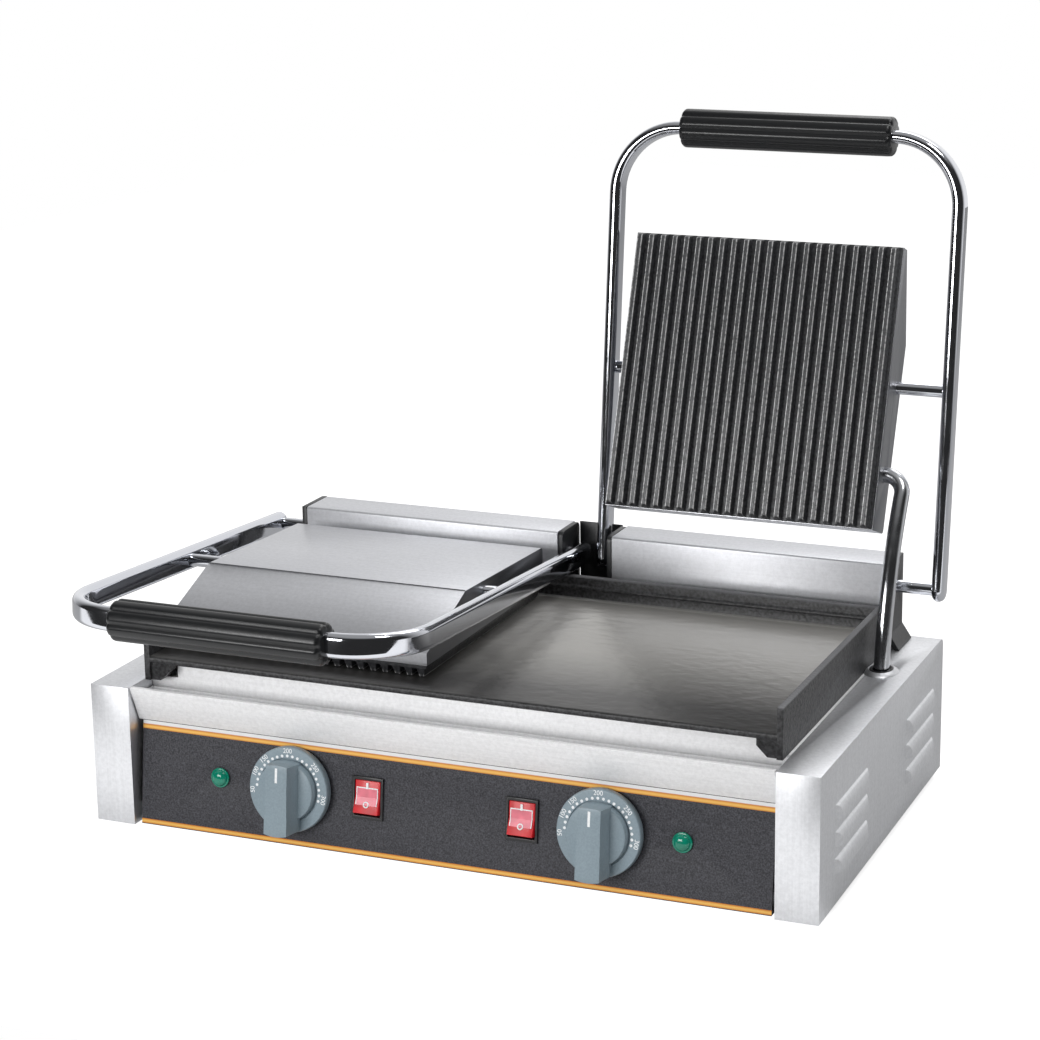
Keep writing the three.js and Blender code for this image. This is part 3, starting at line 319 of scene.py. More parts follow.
def paintedPanel(name):
    # Textured powder coat on the control panel: dark, matt and gritty, with a printed stripe
    # at each edge and a near-white band along the top fold.
    material, tree, shader = newMaterial(name)
    place = addNode(tree, "TexCoord").outputs["Object"]
    grit = addNode(
        tree,
        "TexNoise",
        values={"Scale": 900.0, "Detail": 2.0},  # grit of about 1 mm
        links={"Vector": place},
    )
    paint = addNode(
        tree,
        "ValToRGB",
        links={"Fac": grit},
        stops=[(0.35, linear("#28282C")), (0.7, linear("#4F4F55"))],
    )
    parts = addNode(tree, "SeparateXYZ", links={"Vector": place})
    height = addNode(
        tree,
        "MapRange",
        values={"From Min": 8 * mm, "From Max": 88 * mm},  # the panel's foot and top
        links={"Value": parts.outputs["Z"]},
    )
    none, full = (0, 0, 0, 1), (1, 1, 1, 1)
    mask = addNode(
        tree,
        "ValToRGB",
        links={"Fac": height},
        stops=[(0.0, none), (0.006, full), (0.05, none), (0.912, full), (0.99, none)],
    )
    mask.color_ramp.interpolation = "CONSTANT"
    amber, core, paleFoldBand = linear("#C96B06"), linear("#F4BE62"), linear("#E9EAEA")
    stripe = addNode(
        tree,
        "ValToRGB",
        links={"Fac": height},
        stops=[
            (0.006, amber), (0.022, core), (0.034, core), (0.05, amber), (0.912, amber),
            (0.928, core), (0.94, core), (0.956, amber), (0.962, paleFoldBand),
        ],
    )
    normal = addNode(tree, "NewGeometry").outputs["Normal"]
    facing = addNode(tree, "SeparateXYZ", links={"Vector": normal})
    front = addNode(
        tree, "Math", {"operation": "LESS_THAN"}, {1: -0.6}, {0: facing.outputs["Y"]}
    )
    printed = addNode(tree, "Math", {"operation": "MULTIPLY"}, links={0: front, 1: mask})
    mix = addNode(
        tree, "Mix", {"data_type": "RGBA"}, links={"Factor": printed, 6: paint, 7: stripe}
    )
    relief = addNode(
        tree, "Bump", values={"Strength": 0.25, "Distance": 0.0001}, links={"Height": grit}
    )
    fillInputs(
        tree,
        shader,
        {"Roughness": 0.6, "Specular IOR Level": 0.35},
        {"Base Color": mix.outputs[2], "Normal": relief},
    )
    return material


def speckledRibHighlights(tree, body, ribs):
    # Mixes a painted highlight into each rib: a bright speckled line along its left edge, where
    # the light falls, and a faint one along its right edge.
    place = addNode(tree, "TexCoord").outputs["Object"]
    depth = addNode(
        tree, "VectorMath", {"operation": "DOT_PRODUCT"}, {1: ribs["up"]}, {0: place}
    )
    low = ribs["level"]
    near = addNode(
        tree,
        "MapRange",
        values={
            "From Min": low,
            "From Max": low + ribs["fade"] * mm,
            "To Min": 1.0,
            "To Max": 0.0,
        },
        links={"Value": depth.outputs["Value"]},
    )
    parts = addNode(tree, "SeparateXYZ", links={"Vector": place})
    pitches = addNode(
        tree,
        "Math",
        {"operation": "MULTIPLY_ADD"},
        {1: 1 / (ribs["pitch"] * mm), 2: -ribs["centre"] / ribs["pitch"]},
        {0: parts.outputs["X"]},
    )
    across = addNode(tree, "Math", {"operation": "FRACT"}, links={0: pitches})
    none, full, dimHighlight, crest = ((v, v, v, 1) for v in (0, 1, 0.55, 0.05))
    # painted highlight: bright at the lit left edge, faint at the right edge, dark on the crest
    # between
    edges = addNode(
        tree,
        "ValToRGB",
        links={"Fac": across},
        stops=[
            (0.265, none), (0.28, full), (0.35, full), (0.37, crest),
            (0.62, crest), (0.64, dimHighlight), (0.69, dimHighlight), (0.71, none),
        ],
    )
    sparkle = addNode(
        tree,
        "TexNoise",
        values={"Scale": 520.0, "Detail": 3.0, "Roughness": 0.7},  # grains of about 2 mm
        links={"Vector": place},
    )
    worn = addNode(
        tree,
        "MapRange",
        values={"From Min": 0.38, "From Max": 0.56, "To Min": 0.25},
        links={"Value": sparkle},
    )
    onCrest = addNode(tree, "Math", {"operation": "MULTIPLY"}, links={0: near, 1: worn})
    both = addNode(tree, "Math", {"operation": "MULTIPLY"}, links={0: onCrest, 1: edges})
    mix = addNode(
        tree,
        "Mix",
        {"data_type": "RGBA"},
        {7: linear(ribs["colour"])},
        {"Factor": both, 6: body},
    )
    return mix.outputs[2]


def castIron(name, dark, pale, grainScale, roughness, bump, ribs=None):
    # Sand cast iron, dark and dull with a pitted grain. With ribs, painted highlights line the
    # ribs' edges.
    material, tree, shader = newMaterial(name)
    place = addNode(tree, "TexCoord").outputs["Object"]
    grain = addNode(
        tree,
        "TexNoise",
        # a scale of 420 draws pits of about 2.4 mm
        values={"Scale": grainScale, "Detail": 4.0, "Roughness": 0.65},
        links={"Vector": place},
    )
    body = addNode(
        tree,
        "ValToRGB",
        links={"Fac": grain},
        stops=[(0.35, linear(dark)), (0.7, linear(pale))],
    ).outputs["Color"]
    if ribs:
        body = speckledRibHighlights(tree, body, ribs)
    haze = addNode(
        tree,
        "MapRange",
        values={
            "From Min": 0.3,
            "From Max": 0.7,
            "To Min": roughness + 0.08,
            "To Max": roughness - 0.08,
        },
        links={"Value": grain},
    )
    relief = addNode(
        tree, "Bump", values={"Strength": bump, "Distance": 0.0003}, links={"Height": grain}
    )
    fillInputs(
        tree,
        shader,
        {"Metallic": 0.15},
        {"Base Color": body, "Roughness": haze, "Normal": relief},
    )
    return material


def seasonedPlate(name):
    # The lower plate: smooth on the table, with a painted sheen that is dark at the front edge
    # and palest short of the rear wall; rough black casting at the walls.
    material, tree, shader = newMaterial(name)
    place = addNode(tree, "TexCoord").outputs["Object"]
    parts = addNode(tree, "SeparateXYZ", links={"Vector": place})
    spread = addNode(
        tree, "Mapping", values={"Scale": (0.75, 1.15, 1)}, links={"Vector": place}
    )
    ripple = addNode(
        tree,
        "TexNoise",
        values={"Scale": 110.0, "Detail": 1.5},  # hammered waves of about 9 mm
        links={"Vector": spread},
    )
    grit = addNode(
        tree,
        "TexNoise",
        values={"Scale": 420.0, "Detail": 3.0},  # casting grains of about 2.4 mm
        links={"Vector": place},
    )
    shift = addNode(
        tree,
        "Math",
        {"operation": "MULTIPLY_ADD"},
        {1: 12 * mm},
        {0: ripple, 2: parts.outputs["Y"]},
    )
    depth = addNode(
        tree,
        "MapRange",
        values={"From Min": -123 * mm, "From Max": 125 * mm},  # front edge to rear wall
        links={"Value": shift},
    )
    # painted sheen: the table's colour runs from dark at the front edge to pale towards the
    # rear
    sheenGrey = linear("#AAA8A4")
    smooth = addNode(
        tree,
        "ValToRGB",
        links={"Fac": depth},
        stops=[
            (0.02, linear("#3A3938")), (0.14, linear("#4A4948")), (0.5, sheenGrey),
            (0.85, linear("#C6C4C0")), (1.0, sheenGrey),
        ],
    )
    rough = addNode(
        tree,
        "ValToRGB",
        links={"Fac": grit},
        stops=[(0.35, linear("#161617")), (0.65, linear("#3E3E40"))],
    )
    wallTop = addNode(
        tree,
        "MapRange",
        values={"From Min": 152.5 * mm, "From Max": 153.8 * mm, "To Max": 0.8},
        links={"Value": parts.outputs["Z"]},
    )
    rim = addNode(
        tree,
        "Mix",
        {"data_type": "RGBA"},
        {7: linear("#77777A")},  # the walls' tops are painted paler as a painted highlight
        {"Factor": wallTop, 6: rough},
    )
    normal = addNode(tree, "NewGeometry").outputs["Normal"]
    facing = addNode(tree, "SeparateXYZ", links={"Vector": normal})
    upward = addNode(
        tree,
        "MapRange",
        values={"From Min": 0.6, "From Max": 0.9},
        links={"Value": facing.outputs["Z"]},
    )
    # the smooth table lies lower than this, and the walls' tops higher
    low = addNode(
        tree,
        "MapRange",
        values={
            "From Min": 136.5 * mm,
            "From Max": 138.5 * mm,
            "To Min": 1.0,
            "To Max": 0.0,
        },
        links={"Value": parts.outputs["Z"]},
    )
    table = addNode(tree, "Math", {"operation": "MULTIPLY"}, links={0: upward, 1: low})
    mix = addNode(
        tree,
        "Mix",
        {"data_type": "RGBA"},
        links={"Factor": table, 6: rim.outputs[2], 7: smooth},
    )
    # each socket's value at the rough walls and on the smooth table
    onTable = {
        socket: addNode(
            tree, "MapRange", values={"To Min": walls, "To Max": middle}, links={"Value": table}
        )
        for socket, walls, middle in (
            ("Roughness", 0.5, 0.32), ("Metallic", 0.05, 0.5), ("Coat Weight", 0.1, 0.35),
        )
    }
    height = addNode(tree, "Mix", links={"Factor": table, 2: grit, 3: ripple})
    relief = addNode(
        tree, "Bump", values={"Strength": 0.5, "Distance": 0.0013}, links={"Height": height}
    )
    fillInputs(
        tree,
        shader,
        {"Coat Roughness": 0.3},
        {"Base Color": mix.outputs[2], "Normal": relief, **onTable},
    )
    return material


def mouldedPlastic(name, code, roughness):
    # Injection moulded plastic, enamel or rubber: even and softly glossy, with a fine grain.
    material, tree, shader = newMaterial(name)
    place = addNode(tree, "TexCoord").outputs["Object"]
    grain = addNode(
        tree,
        "TexNoise",
        values={"Scale": 700.0, "Detail": 2.0},  # spark-eroded grain of about 1.4 mm
        links={"Vector": place},
    )
    shade = addNode(
        tree,
        "ValToRGB",
        links={"Fac": grain},
        stops=[(0.3, shaded(code, 0.93)), (0.7, shaded(code, 1.07))],
    )
    haze = addNode(
        tree,
        "MapRange",
        values={
            "From Min": 0.3,
            "From Max": 0.7,
            "To Min": roughness - 0.05,
            "To Max": roughness + 0.05,
        },
        links={"Value": grain},
    )
    relief = addNode(
        tree, "Bump", values={"Strength": 0.08, "Distance": 0.0001}, links={"Height": grain}
    )
    fillInputs(
        tree, shader, links={"Base Color": shade, "Roughness": haze, "Normal": relief}
    )
    return material


def tintedLens(name, code, glow, roughness=0.12):
    # Translucent polycarbonate over a small neon lamp: strong colour, faintly lit.
    material, tree, shader = newMaterial(name)
    place = addNode(tree, "TexCoord").outputs["Object"]
    swirl = addNode(
        tree,
        "TexNoise",
        values={"Scale": 160.0, "Detail": 1.0},  # flow marks of about 6 mm
        links={"Vector": place},
    )
    shade = addNode(
        tree,
        "ValToRGB",
        links={"Fac": swirl},
        stops=[(0.3, shaded(code, 0.85)), (0.75, shaded(code, 1.2))],
    )
    fillInputs(
        tree,
        shader,
        {
            "Roughness": roughness,
            "Coat Weight": 0.12,
            "Emission Color": linear(code),
            "Emission Strength": glow,
        },
        {"Base Color": shade},
    )
    return material


print("materials")
stainlessX = brushedStainless("stainless_brushed_across", "#D3D4D7", "X")
stainlessZ = brushedStainless("stainless_brushed_upright", "#E0E1E4", "Z", 0.41)
# the lid covers' sideways faces take a darker grey as painted shade
stainlessLid = brushedStainless(
    "stainless_satin_lid", "#C6C7CB", "X", metal=1.0, sides="#85868A"
)
stainlessMatt = brushedStainless("stainless_fine_blasted", "#F6F6F7", "X", 0.5, 0.15, 0.25)
stainlessBox = brushedStainless("stainless_rolled_dull", "#D2D3D7", "X", 0.45, 0.2, 0.75)
galvanised = brushedStainless("galvanised_sheet", "#A9ACAE", "X", 0.5)
springSteel = brushedStainless("spring_wire", "#8B8E92", "X", 0.3, 0.1, 1.0)
chrome = polishedChrome("chrome_plate")
tubeSteel = polishedChrome("bright_steel_tube", "#D2D4D8", 0.12, 0.28)
panelPaint = paintedPanel("powder_coat_with_stripes")
seasonedIron = seasonedPlate("cast_iron_seasoned")
# the ribs' painted edge highlights: their pitch, depth and colour
ribEdgeHighlights = {"pitch": 9.84, "fade": 2.4, "colour": "#FFFFFF"}  # pitch and fade in millimetres
ribbedIron = {}
for side, sign in sideSign.items():
    up = plateMatrix(side).to_3x3() @ Vector((0, 0, 1 / mm))
    level = (plateMatrix(side) @ Vector((0, 0, plate["underside"]))).dot(up)
    ribs = {"up": tuple(up), "level": level, "centre": sign * plate["centre"], **ribEdgeHighlights}
    ribbedIron[side] = castIron(
        "cast_iron_ribbed_" + side, "#222325", "#444548", 420.0, 0.42, 0.5, ribs
    )
elementSheath = castIron("heat_stained_sheath", "#54493F", "#8A7B6B", 300.0, 0.5, 0.1)
blackPaint = mouldedPlastic("satin_black_enamel", "#252628", 0.4)
gripPlastic = mouldedPlastic("phenolic_black", "#17181A", 0.33)
knobPlastic = mouldedPlastic("abs_blue_grey", "#86969F", 0.38)
blackPlastic = mouldedPlastic("nylon_black", "#161618", 0.35)
# white ink for the knobs' scales and the rockers' marks, also used for painted highlights on
# the rockers
whiteInkAndHighlight = mouldedPlastic("white_ink_and_painted_highlight", "#F2F4F5", 0.5)
footRubber = mouldedPlastic("rubber_black", "#1B1B1C", 0.8)
thermoset = mouldedPlastic("thermoset_cream", "#DDD8CA", 0.5)
# a dark grey for the thin line along each cover's fold: painted shade
foldShade = mouldedPlastic("steel_shaded_in_fold", "#56575A", 0.6)
redPlastic = tintedLens("polycarbonate_red", "#B80F1A", 0.22, 0.4)
# a rose sheet on the rockers' faces with a faint glow: a painted reflection
roseReflection = tintedLens("polycarbonate_window", "#D26F7D", 0.18, 0.35)
greenPlastic = tintedLens("polycarbonate_green", "#067A62", 0.1)

# Sheet metal and castings, with the folds and edges of the real sheet

print("sheet metal")
# each sheet's or casting's edge radius, finish and slot
softened = {
    "top_frame": (0.4, stainlessMatt, "body_steel"),
    "rear_panel": (0.5, stainlessX, "body_steel"),
    "bottom_pan": (0.3, galvanised, "galvanised"),
    "front_panel": (0.5, panelPaint, "panel_paint"),
    "lower_plate": (1.4, seasonedIron, "lower_iron"),
    "center_channel": (0.4, blackPaint, "black_paint"),
    "terminal_block": (0.4, thermoset, "terminal_plastic"),
}
onBothSides = {
    "end_cover": (0.5, stainlessZ, "body_steel"),
    "hinge_box": (0.5, stainlessBox, "body_steel"),
    "inner_bracket": (0.5, blackPaint, "black_paint"),
    "outer_bracket": (0.5, blackPaint, "black_paint"),
    "switch_body": (0.5, blackPlastic, "black_plastic"),
    "thermostat": (0.4, galvanised, "galvanised"),
    "conduit_bush": (0.3, blackPlastic, "black_plastic"),
}
for node, finish in onBothSides.items():
    for side in sideSign:
        softened[side + "_" + node] = finish
for node, (width, material, slot) in softened.items():
    piece = softenedCopy(node, width)
    finishPiece(piece, node + "_sheet", "body", material, [node])

piece = softenedCopy("drip_tray", 0.35)
finishPiece(piece, "drip_tray_sheet", "tray", stainlessMatt, ["drip_tray"])
for side in sideSign:
    piece = softenedCopy(side + "_upper_cover", 0.7)
    finishPiece(
        piece, side + "_upper_cover_sheet", side + "_plate", stainlessLid,
        [side + "_upper_cover"],
    )
    piece = softenedCopy(side + "_upper_plate", 0.5)
    finishPiece(
        piece, side + "_upper_plate_cast", side + "_plate", ribbedIron[side],
        [side + "_upper_plate"],
    )
    piece = softenedCopy(side + "_rocker", 0.6)
    finishPiece(
        piece, side + "_rocker_lens", side + "_rocker", redPlastic,
        [side + "_rocker"],
    )

# small parts that keep their CAD shape
keptNodes = {
    "torsion_spring": springSteel,
    "lower_element": elementSheath,
    "upper_element": elementSheath,
    "pilot_body": blackPlastic,
    "spindle": galvanised,
}
for side in sideSign:
    for node, material in keptNodes.items():
        coat(nodes[side + "_" + node], material)
coat(nodes["cable_gland"], blackPlastic)

# Handle bars: a flat oval bar bent twice, with round ends on the hinge axis

handleBar = {
    "halfSpan": 139.1,  # between the arms' centre lines
    "centre": 148.3,  # from the grill's middle to the loop's
    "length": 346.0,  # hinge axis to grip
    "bend": 52.0,
    "thin": 10.0,  # the oval section's two widths
    "wide": 18.5,
    "bendSteps": 20,
    "cornerSteps": 8,
    "endSteps": 20,
}


def modelHandleBar():
    spec = handleBar
    left = -spec["halfSpan"]
    deselectAll()
    bpy.ops.mesh.primitive_plane_add(size=1, location=(0, 0, 0))
    piece = bpy.context.active_object
    enterEdit(piece)
    bpy.ops.mesh.select_all(action="SELECT")
    bpy.ops.transform.resize(value=(spec["thin"], spec["wide"], 1))
    bpy.ops.mesh.bevel(
        offset=spec["thin"] / 2 * 0.995,  # just short of where the corners would meet
        segments=spec["cornerSteps"],
        affect="VERTICES",
    )
    pick(piece, lambda e: abs(middle(e).y) < 0.1 and e.calc_length() > 1, "EDGE")
    bpy.ops.mesh.subdivide(number_cuts=1)
    bpy.ops.mesh.select_all(action="SELECT")
    bpy.ops.mesh.select_mode(type="FACE")
    leaveEdit()
    # the section stands up across the arm
    piece.data.transform(Matrix.Rotation(math.pi / 2, 4, "X"))
    piece.data.transform(Matrix.Translation((left, 0, 0)))
    enterEdit(piece)
    bpy.ops.mesh.select_mode(type="FACE")
    bpy.ops.mesh.select_all(action="SELECT")
    straight = spec["length"] - spec["bend"]
    bpy.ops.mesh.extrude_region_move(TRANSFORM_OT_translate={"value": (0, -straight, 0)})
    bpy.ops.mesh.spin(
        steps=spec["bendSteps"],
        angle=-math.pi / 2,
        center=(left + spec["bend"], -straight, 0),
        axis=(0, 0, 1),
    )
    span = 2 * (spec["halfSpan"] - spec["bend"])
    bpy.ops.mesh.extrude_region_move(TRANSFORM_OT_translate={"value": (span, 0, 0)})
    bpy.ops.mesh.spin(
        steps=spec["bendSteps"],
        angle=-math.pi / 2,
        center=(-left - spec["bend"], -straight, 0),
        axis=(0, 0, 1),
    )
    bpy.ops.mesh.extrude_region_move(TRANSFORM_OT_translate={"value": (0, straight, 0)})
    for x in (left, -left):

        def onEnd(v):
            return abs(v.co.y) < 0.01 and abs(v.co.x - x) < spec["thin"]

        pick(piece, lambda f: all(onEnd(v) for v in f.verts), "FACE")
        bpy.ops.mesh.delete(type="ONLY_FACE")
        # the upper half of the end's outline is swept round to close it
        pick(piece, lambda e: all(onEnd(v) and v.co.z > -0.01 for v in e.verts), "EDGE")
        bpy.ops.mesh.spin(
            steps=spec["endSteps"],
            angle=math.pi,
            center=(x, 0, 0),
            axis=(1, 0, 0),
        )
    bpy.ops.mesh.select_all(action="SELECT")
    bpy.ops.mesh.remove_doubles(threshold=0.01)
    bpy.ops.mesh.normals_make_consistent(inside=False)
    leaveEdit()
    return piece


print("handle bars")
barModel = modelHandleBar()
for side, sign in sideSign.items():
    piece = copyOf(barModel, side + "_bar")
    placeMesh(piece, lidMatrix(side) @ Matrix.Translation((sign * handleBar["centre"], 0, 0)))
    finishPiece(
        piece, side + "_handle_loop", side + "_lid", chrome,
        [side + "_handle_bar"], smooth=50,
    )
bpy.data.objects.remove(barModel)

# Grips: fluted sleeves with rounded ends

grip = {
    "length": 171.0,
    "radius": 15.5,
    "flutes": 8,
    "depth": 1.7,
    "endRound": 4.0,
    "endSteps": 5,
    "points": 12,
}


def modelGrip():
    spec = grip
    deselectAll()
    count = spec["flutes"] * spec["points"]
    bpy.ops.mesh.primitive_circle_add(
        vertices=count, radius=spec["radius"], fill_type="NGON", location=(0, 0, 0),
    )
    piece = bpy.context.active_object
    enterEdit(piece)
    pitch = 2 * math.pi / spec["flutes"]
    for step in range(spec["points"] // 2 + 1):
        # the circle is drawn in at each flute, most at the flute's middle
        turn = 2 * math.pi * step / spec["points"]
        share = 1 - spec["depth"] / spec["radius"] * ((1 + math.cos(turn)) / 2) ** 4

        def onLevel(v):
            phase = (math.atan2(v.co.y, v.co.x) % pitch) / pitch * spec["points"]
            phase = min(phase, spec["points"] - phase)
            return abs(phase - step) < 0.2

        pick(piece, onLevel)
        bpy.ops.transform.resize(value=(share, share, 1), center_override=(0, 0, 0))
    bpy.ops.mesh.select_mode(type="FACE")
    bpy.ops.mesh.select_all(action="SELECT")
    inner = (spec["radius"] - spec["endRound"]) / spec["radius"]
    bpy.ops.transform.resize(value=(inner, inner, 1), center_override=(0, 0, 0))
    reached, wide = 0.0, inner
    profile = []
    for step in range(1, spec["endSteps"] + 1):
        turn = math.pi / 2 * step / spec["endSteps"]
        out = (spec["radius"] - spec["endRound"] * (1 - math.sin(turn))) / spec["radius"]
        along = spec["endRound"] * (1 - math.cos(turn))
        profile.append((along, out))
    ends = profile + [
        (spec["length"] - along, out) for along, out in [*reversed(profile), (0.0, inner)]
    ]
    for along, out in ends:
        if along > reached + 0.001:
            bpy.ops.mesh.extrude_region_move(
                TRANSFORM_OT_translate={"value": (0, 0, along - reached)}
            )
        share = out / wide
        bpy.ops.transform.resize(value=(share, share, 1), center_override=(0, 0, 0))
        reached, wide = along, out
    bpy.ops.mesh.select_all(action="SELECT")
    bpy.ops.mesh.remove_doubles(threshold=0.001)
    bpy.ops.mesh.normals_make_consistent(inside=False)
    leaveEdit()
    piece.data.transform(Matrix.Translation((0, 0, -spec["length"] / 2)))
    piece.data.transform(Matrix.Rotation(math.pi / 2, 4, "Y"))
    return piece


print("grips")
gripModel = modelGrip()
for side, sign in sideSign.items():
    piece = copyOf(gripModel, side + "_sleeve")
    reach = Matrix.Translation((sign * handleBar["centre"], -handleBar["length"], 0))
    placeMesh(piece, lidMatrix(side) @ reach)
    finishPiece(
        piece, side + "_handle_sleeve", side + "_lid", gripPlastic,
        [side + "_grip"], smooth=40,
    )
bpy.data.objects.remove(gripModel)

# Pivot shafts and tilt rods: turned bar, its ends inside the handle's arms


def modelRod(radius, length):
    deselectAll()
    bpy.ops.mesh.primitive_cylinder_add(
        vertices=48, radius=radius, depth=length, rotation=(0, math.pi / 2, 0),
    )
    piece = bpy.context.active_object
    bpy.ops.object.transform_apply(location=False, rotation=True, scale=False)
    enterEdit(piece)
    pick(piece, lambda f: abs(f.normal.x) > 0.9, "FACE")
    bpy.ops.mesh.bevel(offset=min(0.6, radius / 2), segments=2)
    leaveEdit()
    return piece


print("shafts and rods")
rodModel = modelRod(tiltRod["radius"], tiltRod["length"])
for side, sign in sideSign.items():
    for name, kind, reach in (("shaft", "pivot", 0.0), ("rod", "tilt", tiltRod["reach"])):
        piece = copyOf(rodModel, side + name)
        place = Matrix.Translation((sign * handleBar["centre"], -reach, 0))
        placeMesh(piece, lidMatrix(side) @ place)
        finishPiece(
            piece, side + "_turned_" + name, side + "_lid", chrome,
            ["_".join((side, kind, name))],
        )
bpy.data.objects.remove(rodModel)

# Conduits: a round metal tube from the lid's side down into the end cover

conduit = {
    "radius": 6.0,
    "x": 262.0,
    "start": 237.8,  # inside the upper cover's wall
    "elbow": 15.0,
    "straight": 3.0,
    "bend": 280.0,
    "length": 158.0,
    "lean": -13.33,
    "fromRear": 44.0,  # its joint on the upper plate
    "rise": 26.5,
    "sides": 40,
    "elbowSteps": 12,
    "bendSteps": 24,
}


def modelConduit():
    spec = conduit
    lean = math.radians(spec["lean"])
    heading = Vector((0, -math.sin(lean), -math.cos(lean)))
    forward = Vector((0, -math.cos(lean), math.sin(lean)))
    deselectAll()
    bpy.ops.mesh.primitive_circle_add(
        vertices=spec["sides"], radius=spec["radius"], fill_type="NGON",
        location=(0, 0, 0),
    )
    piece = bpy.context.active_object
    piece.data.transform(Matrix.Rotation(math.pi / 2, 4, "Y"))
    piece.data.transform(Matrix.Translation((spec["start"], 0, 0)))
    enterEdit(piece)
    bpy.ops.mesh.select_mode(type="FACE")
    bpy.ops.mesh.select_all(action="SELECT")
    turnAt = spec["x"] - spec["elbow"]
    bpy.ops.mesh.extrude_region_move(
        TRANSFORM_OT_translate={"value": (turnAt - spec["start"], 0, 0)}
    )
    elbowCentre = Vector((turnAt, 0, 0)) + heading * spec["elbow"]
    elbowAxis = Vector((1, 0, 0)).cross(heading)
    bpy.ops.mesh.spin(
        steps=spec["elbowSteps"], angle=-math.pi / 2, center=elbowCentre, axis=elbowAxis,
    )
    bpy.ops.mesh.extrude_region_move(
        TRANSFORM_OT_translate={"value": heading * spec["straight"]}
    )
    begin = Vector((spec["x"], 0, 0)) + heading * (spec["elbow"] + spec["straight"])
    bendCentre = begin - forward * spec["bend"]
    rest = spec["length"] - spec["elbow"] - spec["straight"]
    bpy.ops.mesh.spin(
        steps=spec["bendSteps"], angle=-rest / spec["bend"], center=bendCentre,
        axis=forward.cross(heading),
    )
    bpy.ops.mesh.select_all(action="SELECT")
    bpy.ops.mesh.remove_doubles(threshold=0.001)
    bpy.ops.mesh.normals_make_consistent(inside=False)
    leaveEdit()
    return piece


print("conduits")
conduitModel = modelConduit()
for side, sign in sideSign.items():
    piece = copyOf(conduitModel, side + "_tube")
    rear, low = plate["rear"] - conduit["fromRear"], plate["underside"] + conduit["rise"]
    pivot = Matrix.Translation((0, rear, low))
    turn = Matrix.Rotation(math.radians(plateAngle[side] - conduitAngle[side]), 4, "X")
    mirror = Matrix.Scale(sign, 4, (1, 0, 0))
    placeMesh(piece, plateMatrix(side) @ pivot @ turn @ mirror)
    finishPiece(
        piece, side + "_cable_tube", side + "_conduit", tubeSteel,
        [side + "_conduit"], smooth=40,
    )
bpy.data.objects.remove(conduitModel)

# Turned pieces: a profile of radius and place, spun round


def turnedPiece(profile, steps=64):
    mesh = bpy.data.meshes.new("profile")
    points = [(radius, 0, at) for radius, at in profile]
    mesh.from_pydata(points, [(i, i + 1) for i in range(len(points) - 1)], [])
    piece = bpy.data.objects.new("turned", mesh)
    bpy.context.scene.collection.objects.link(piece)
    enterEdit(piece)
    bpy.ops.mesh.select_all(action="SELECT")
    bpy.ops.mesh.spin(steps=steps, angle=2 * math.pi, center=(0, 0, 0), axis=(0, 0, 1))
    bpy.ops.mesh.select_all(action="SELECT")
    bpy.ops.mesh.remove_doubles(threshold=0.001)
    bpy.ops.mesh.normals_make_consistent(inside=False)
    leaveEdit()
    return piece


outOfPanel = Matrix.Rotation(math.pi / 2, 4, "X")  # turns +Z to face out of the panel
control = {"rise": 43.8, "knobX": 122.3, "rockerX": 61.0, "pilotX": 182.7}


def controlMatrix(side, across, inward=0.0):
    # Where one of the panel's controls sits, with +Z up the panel and -Y out of it.
    spot = (sideSign[side] * control[across], inward, control["rise"])
    return panelMatrix() @ Matrix.Translation(spot)


# Knobs: a skirt with the scale, a raised cap and a grip bar across it

knob = {
    "face": 8.5,  # the skirt's flat face with the scale
    "cap": 22.6,  # radius of the raised cap
    "bar": 9.2,  # half the grip bar's width
    "barFoot": 5.0,  # the bar's two heights and its two ends
    "barOut": 27.5,
    "barLow": -31.0,
    "barHigh": 26.0,
    "barCuts": 12,
    "flare": (7.0, 1.02),  # each step's length and its growth
    "dip": 1.0,
    "edge": 1.4,
    "dotRadius": 25.5,
    "dotSize": 1.1,
    "dots": 21,
    "firstDot": 178.0,
    "lastDot": -12.0,
    "pointer": (1.9, 11.0, 0.7),
    "pointerMiddle": 15.0,
    "numberRadius": 29.1,
    "numberSize": 4.9,
    "scoop": [1.08, 1.08, 1.08, 1.12, 1.14, 1.08, 1.03, 1.0, 0.98, 0.96, 0.94],
    "numbers": {"50": 186.0, "100": 158.0, "150": 134.0, "200": 92.0, "250": 42.0, "300": -8.0},
}


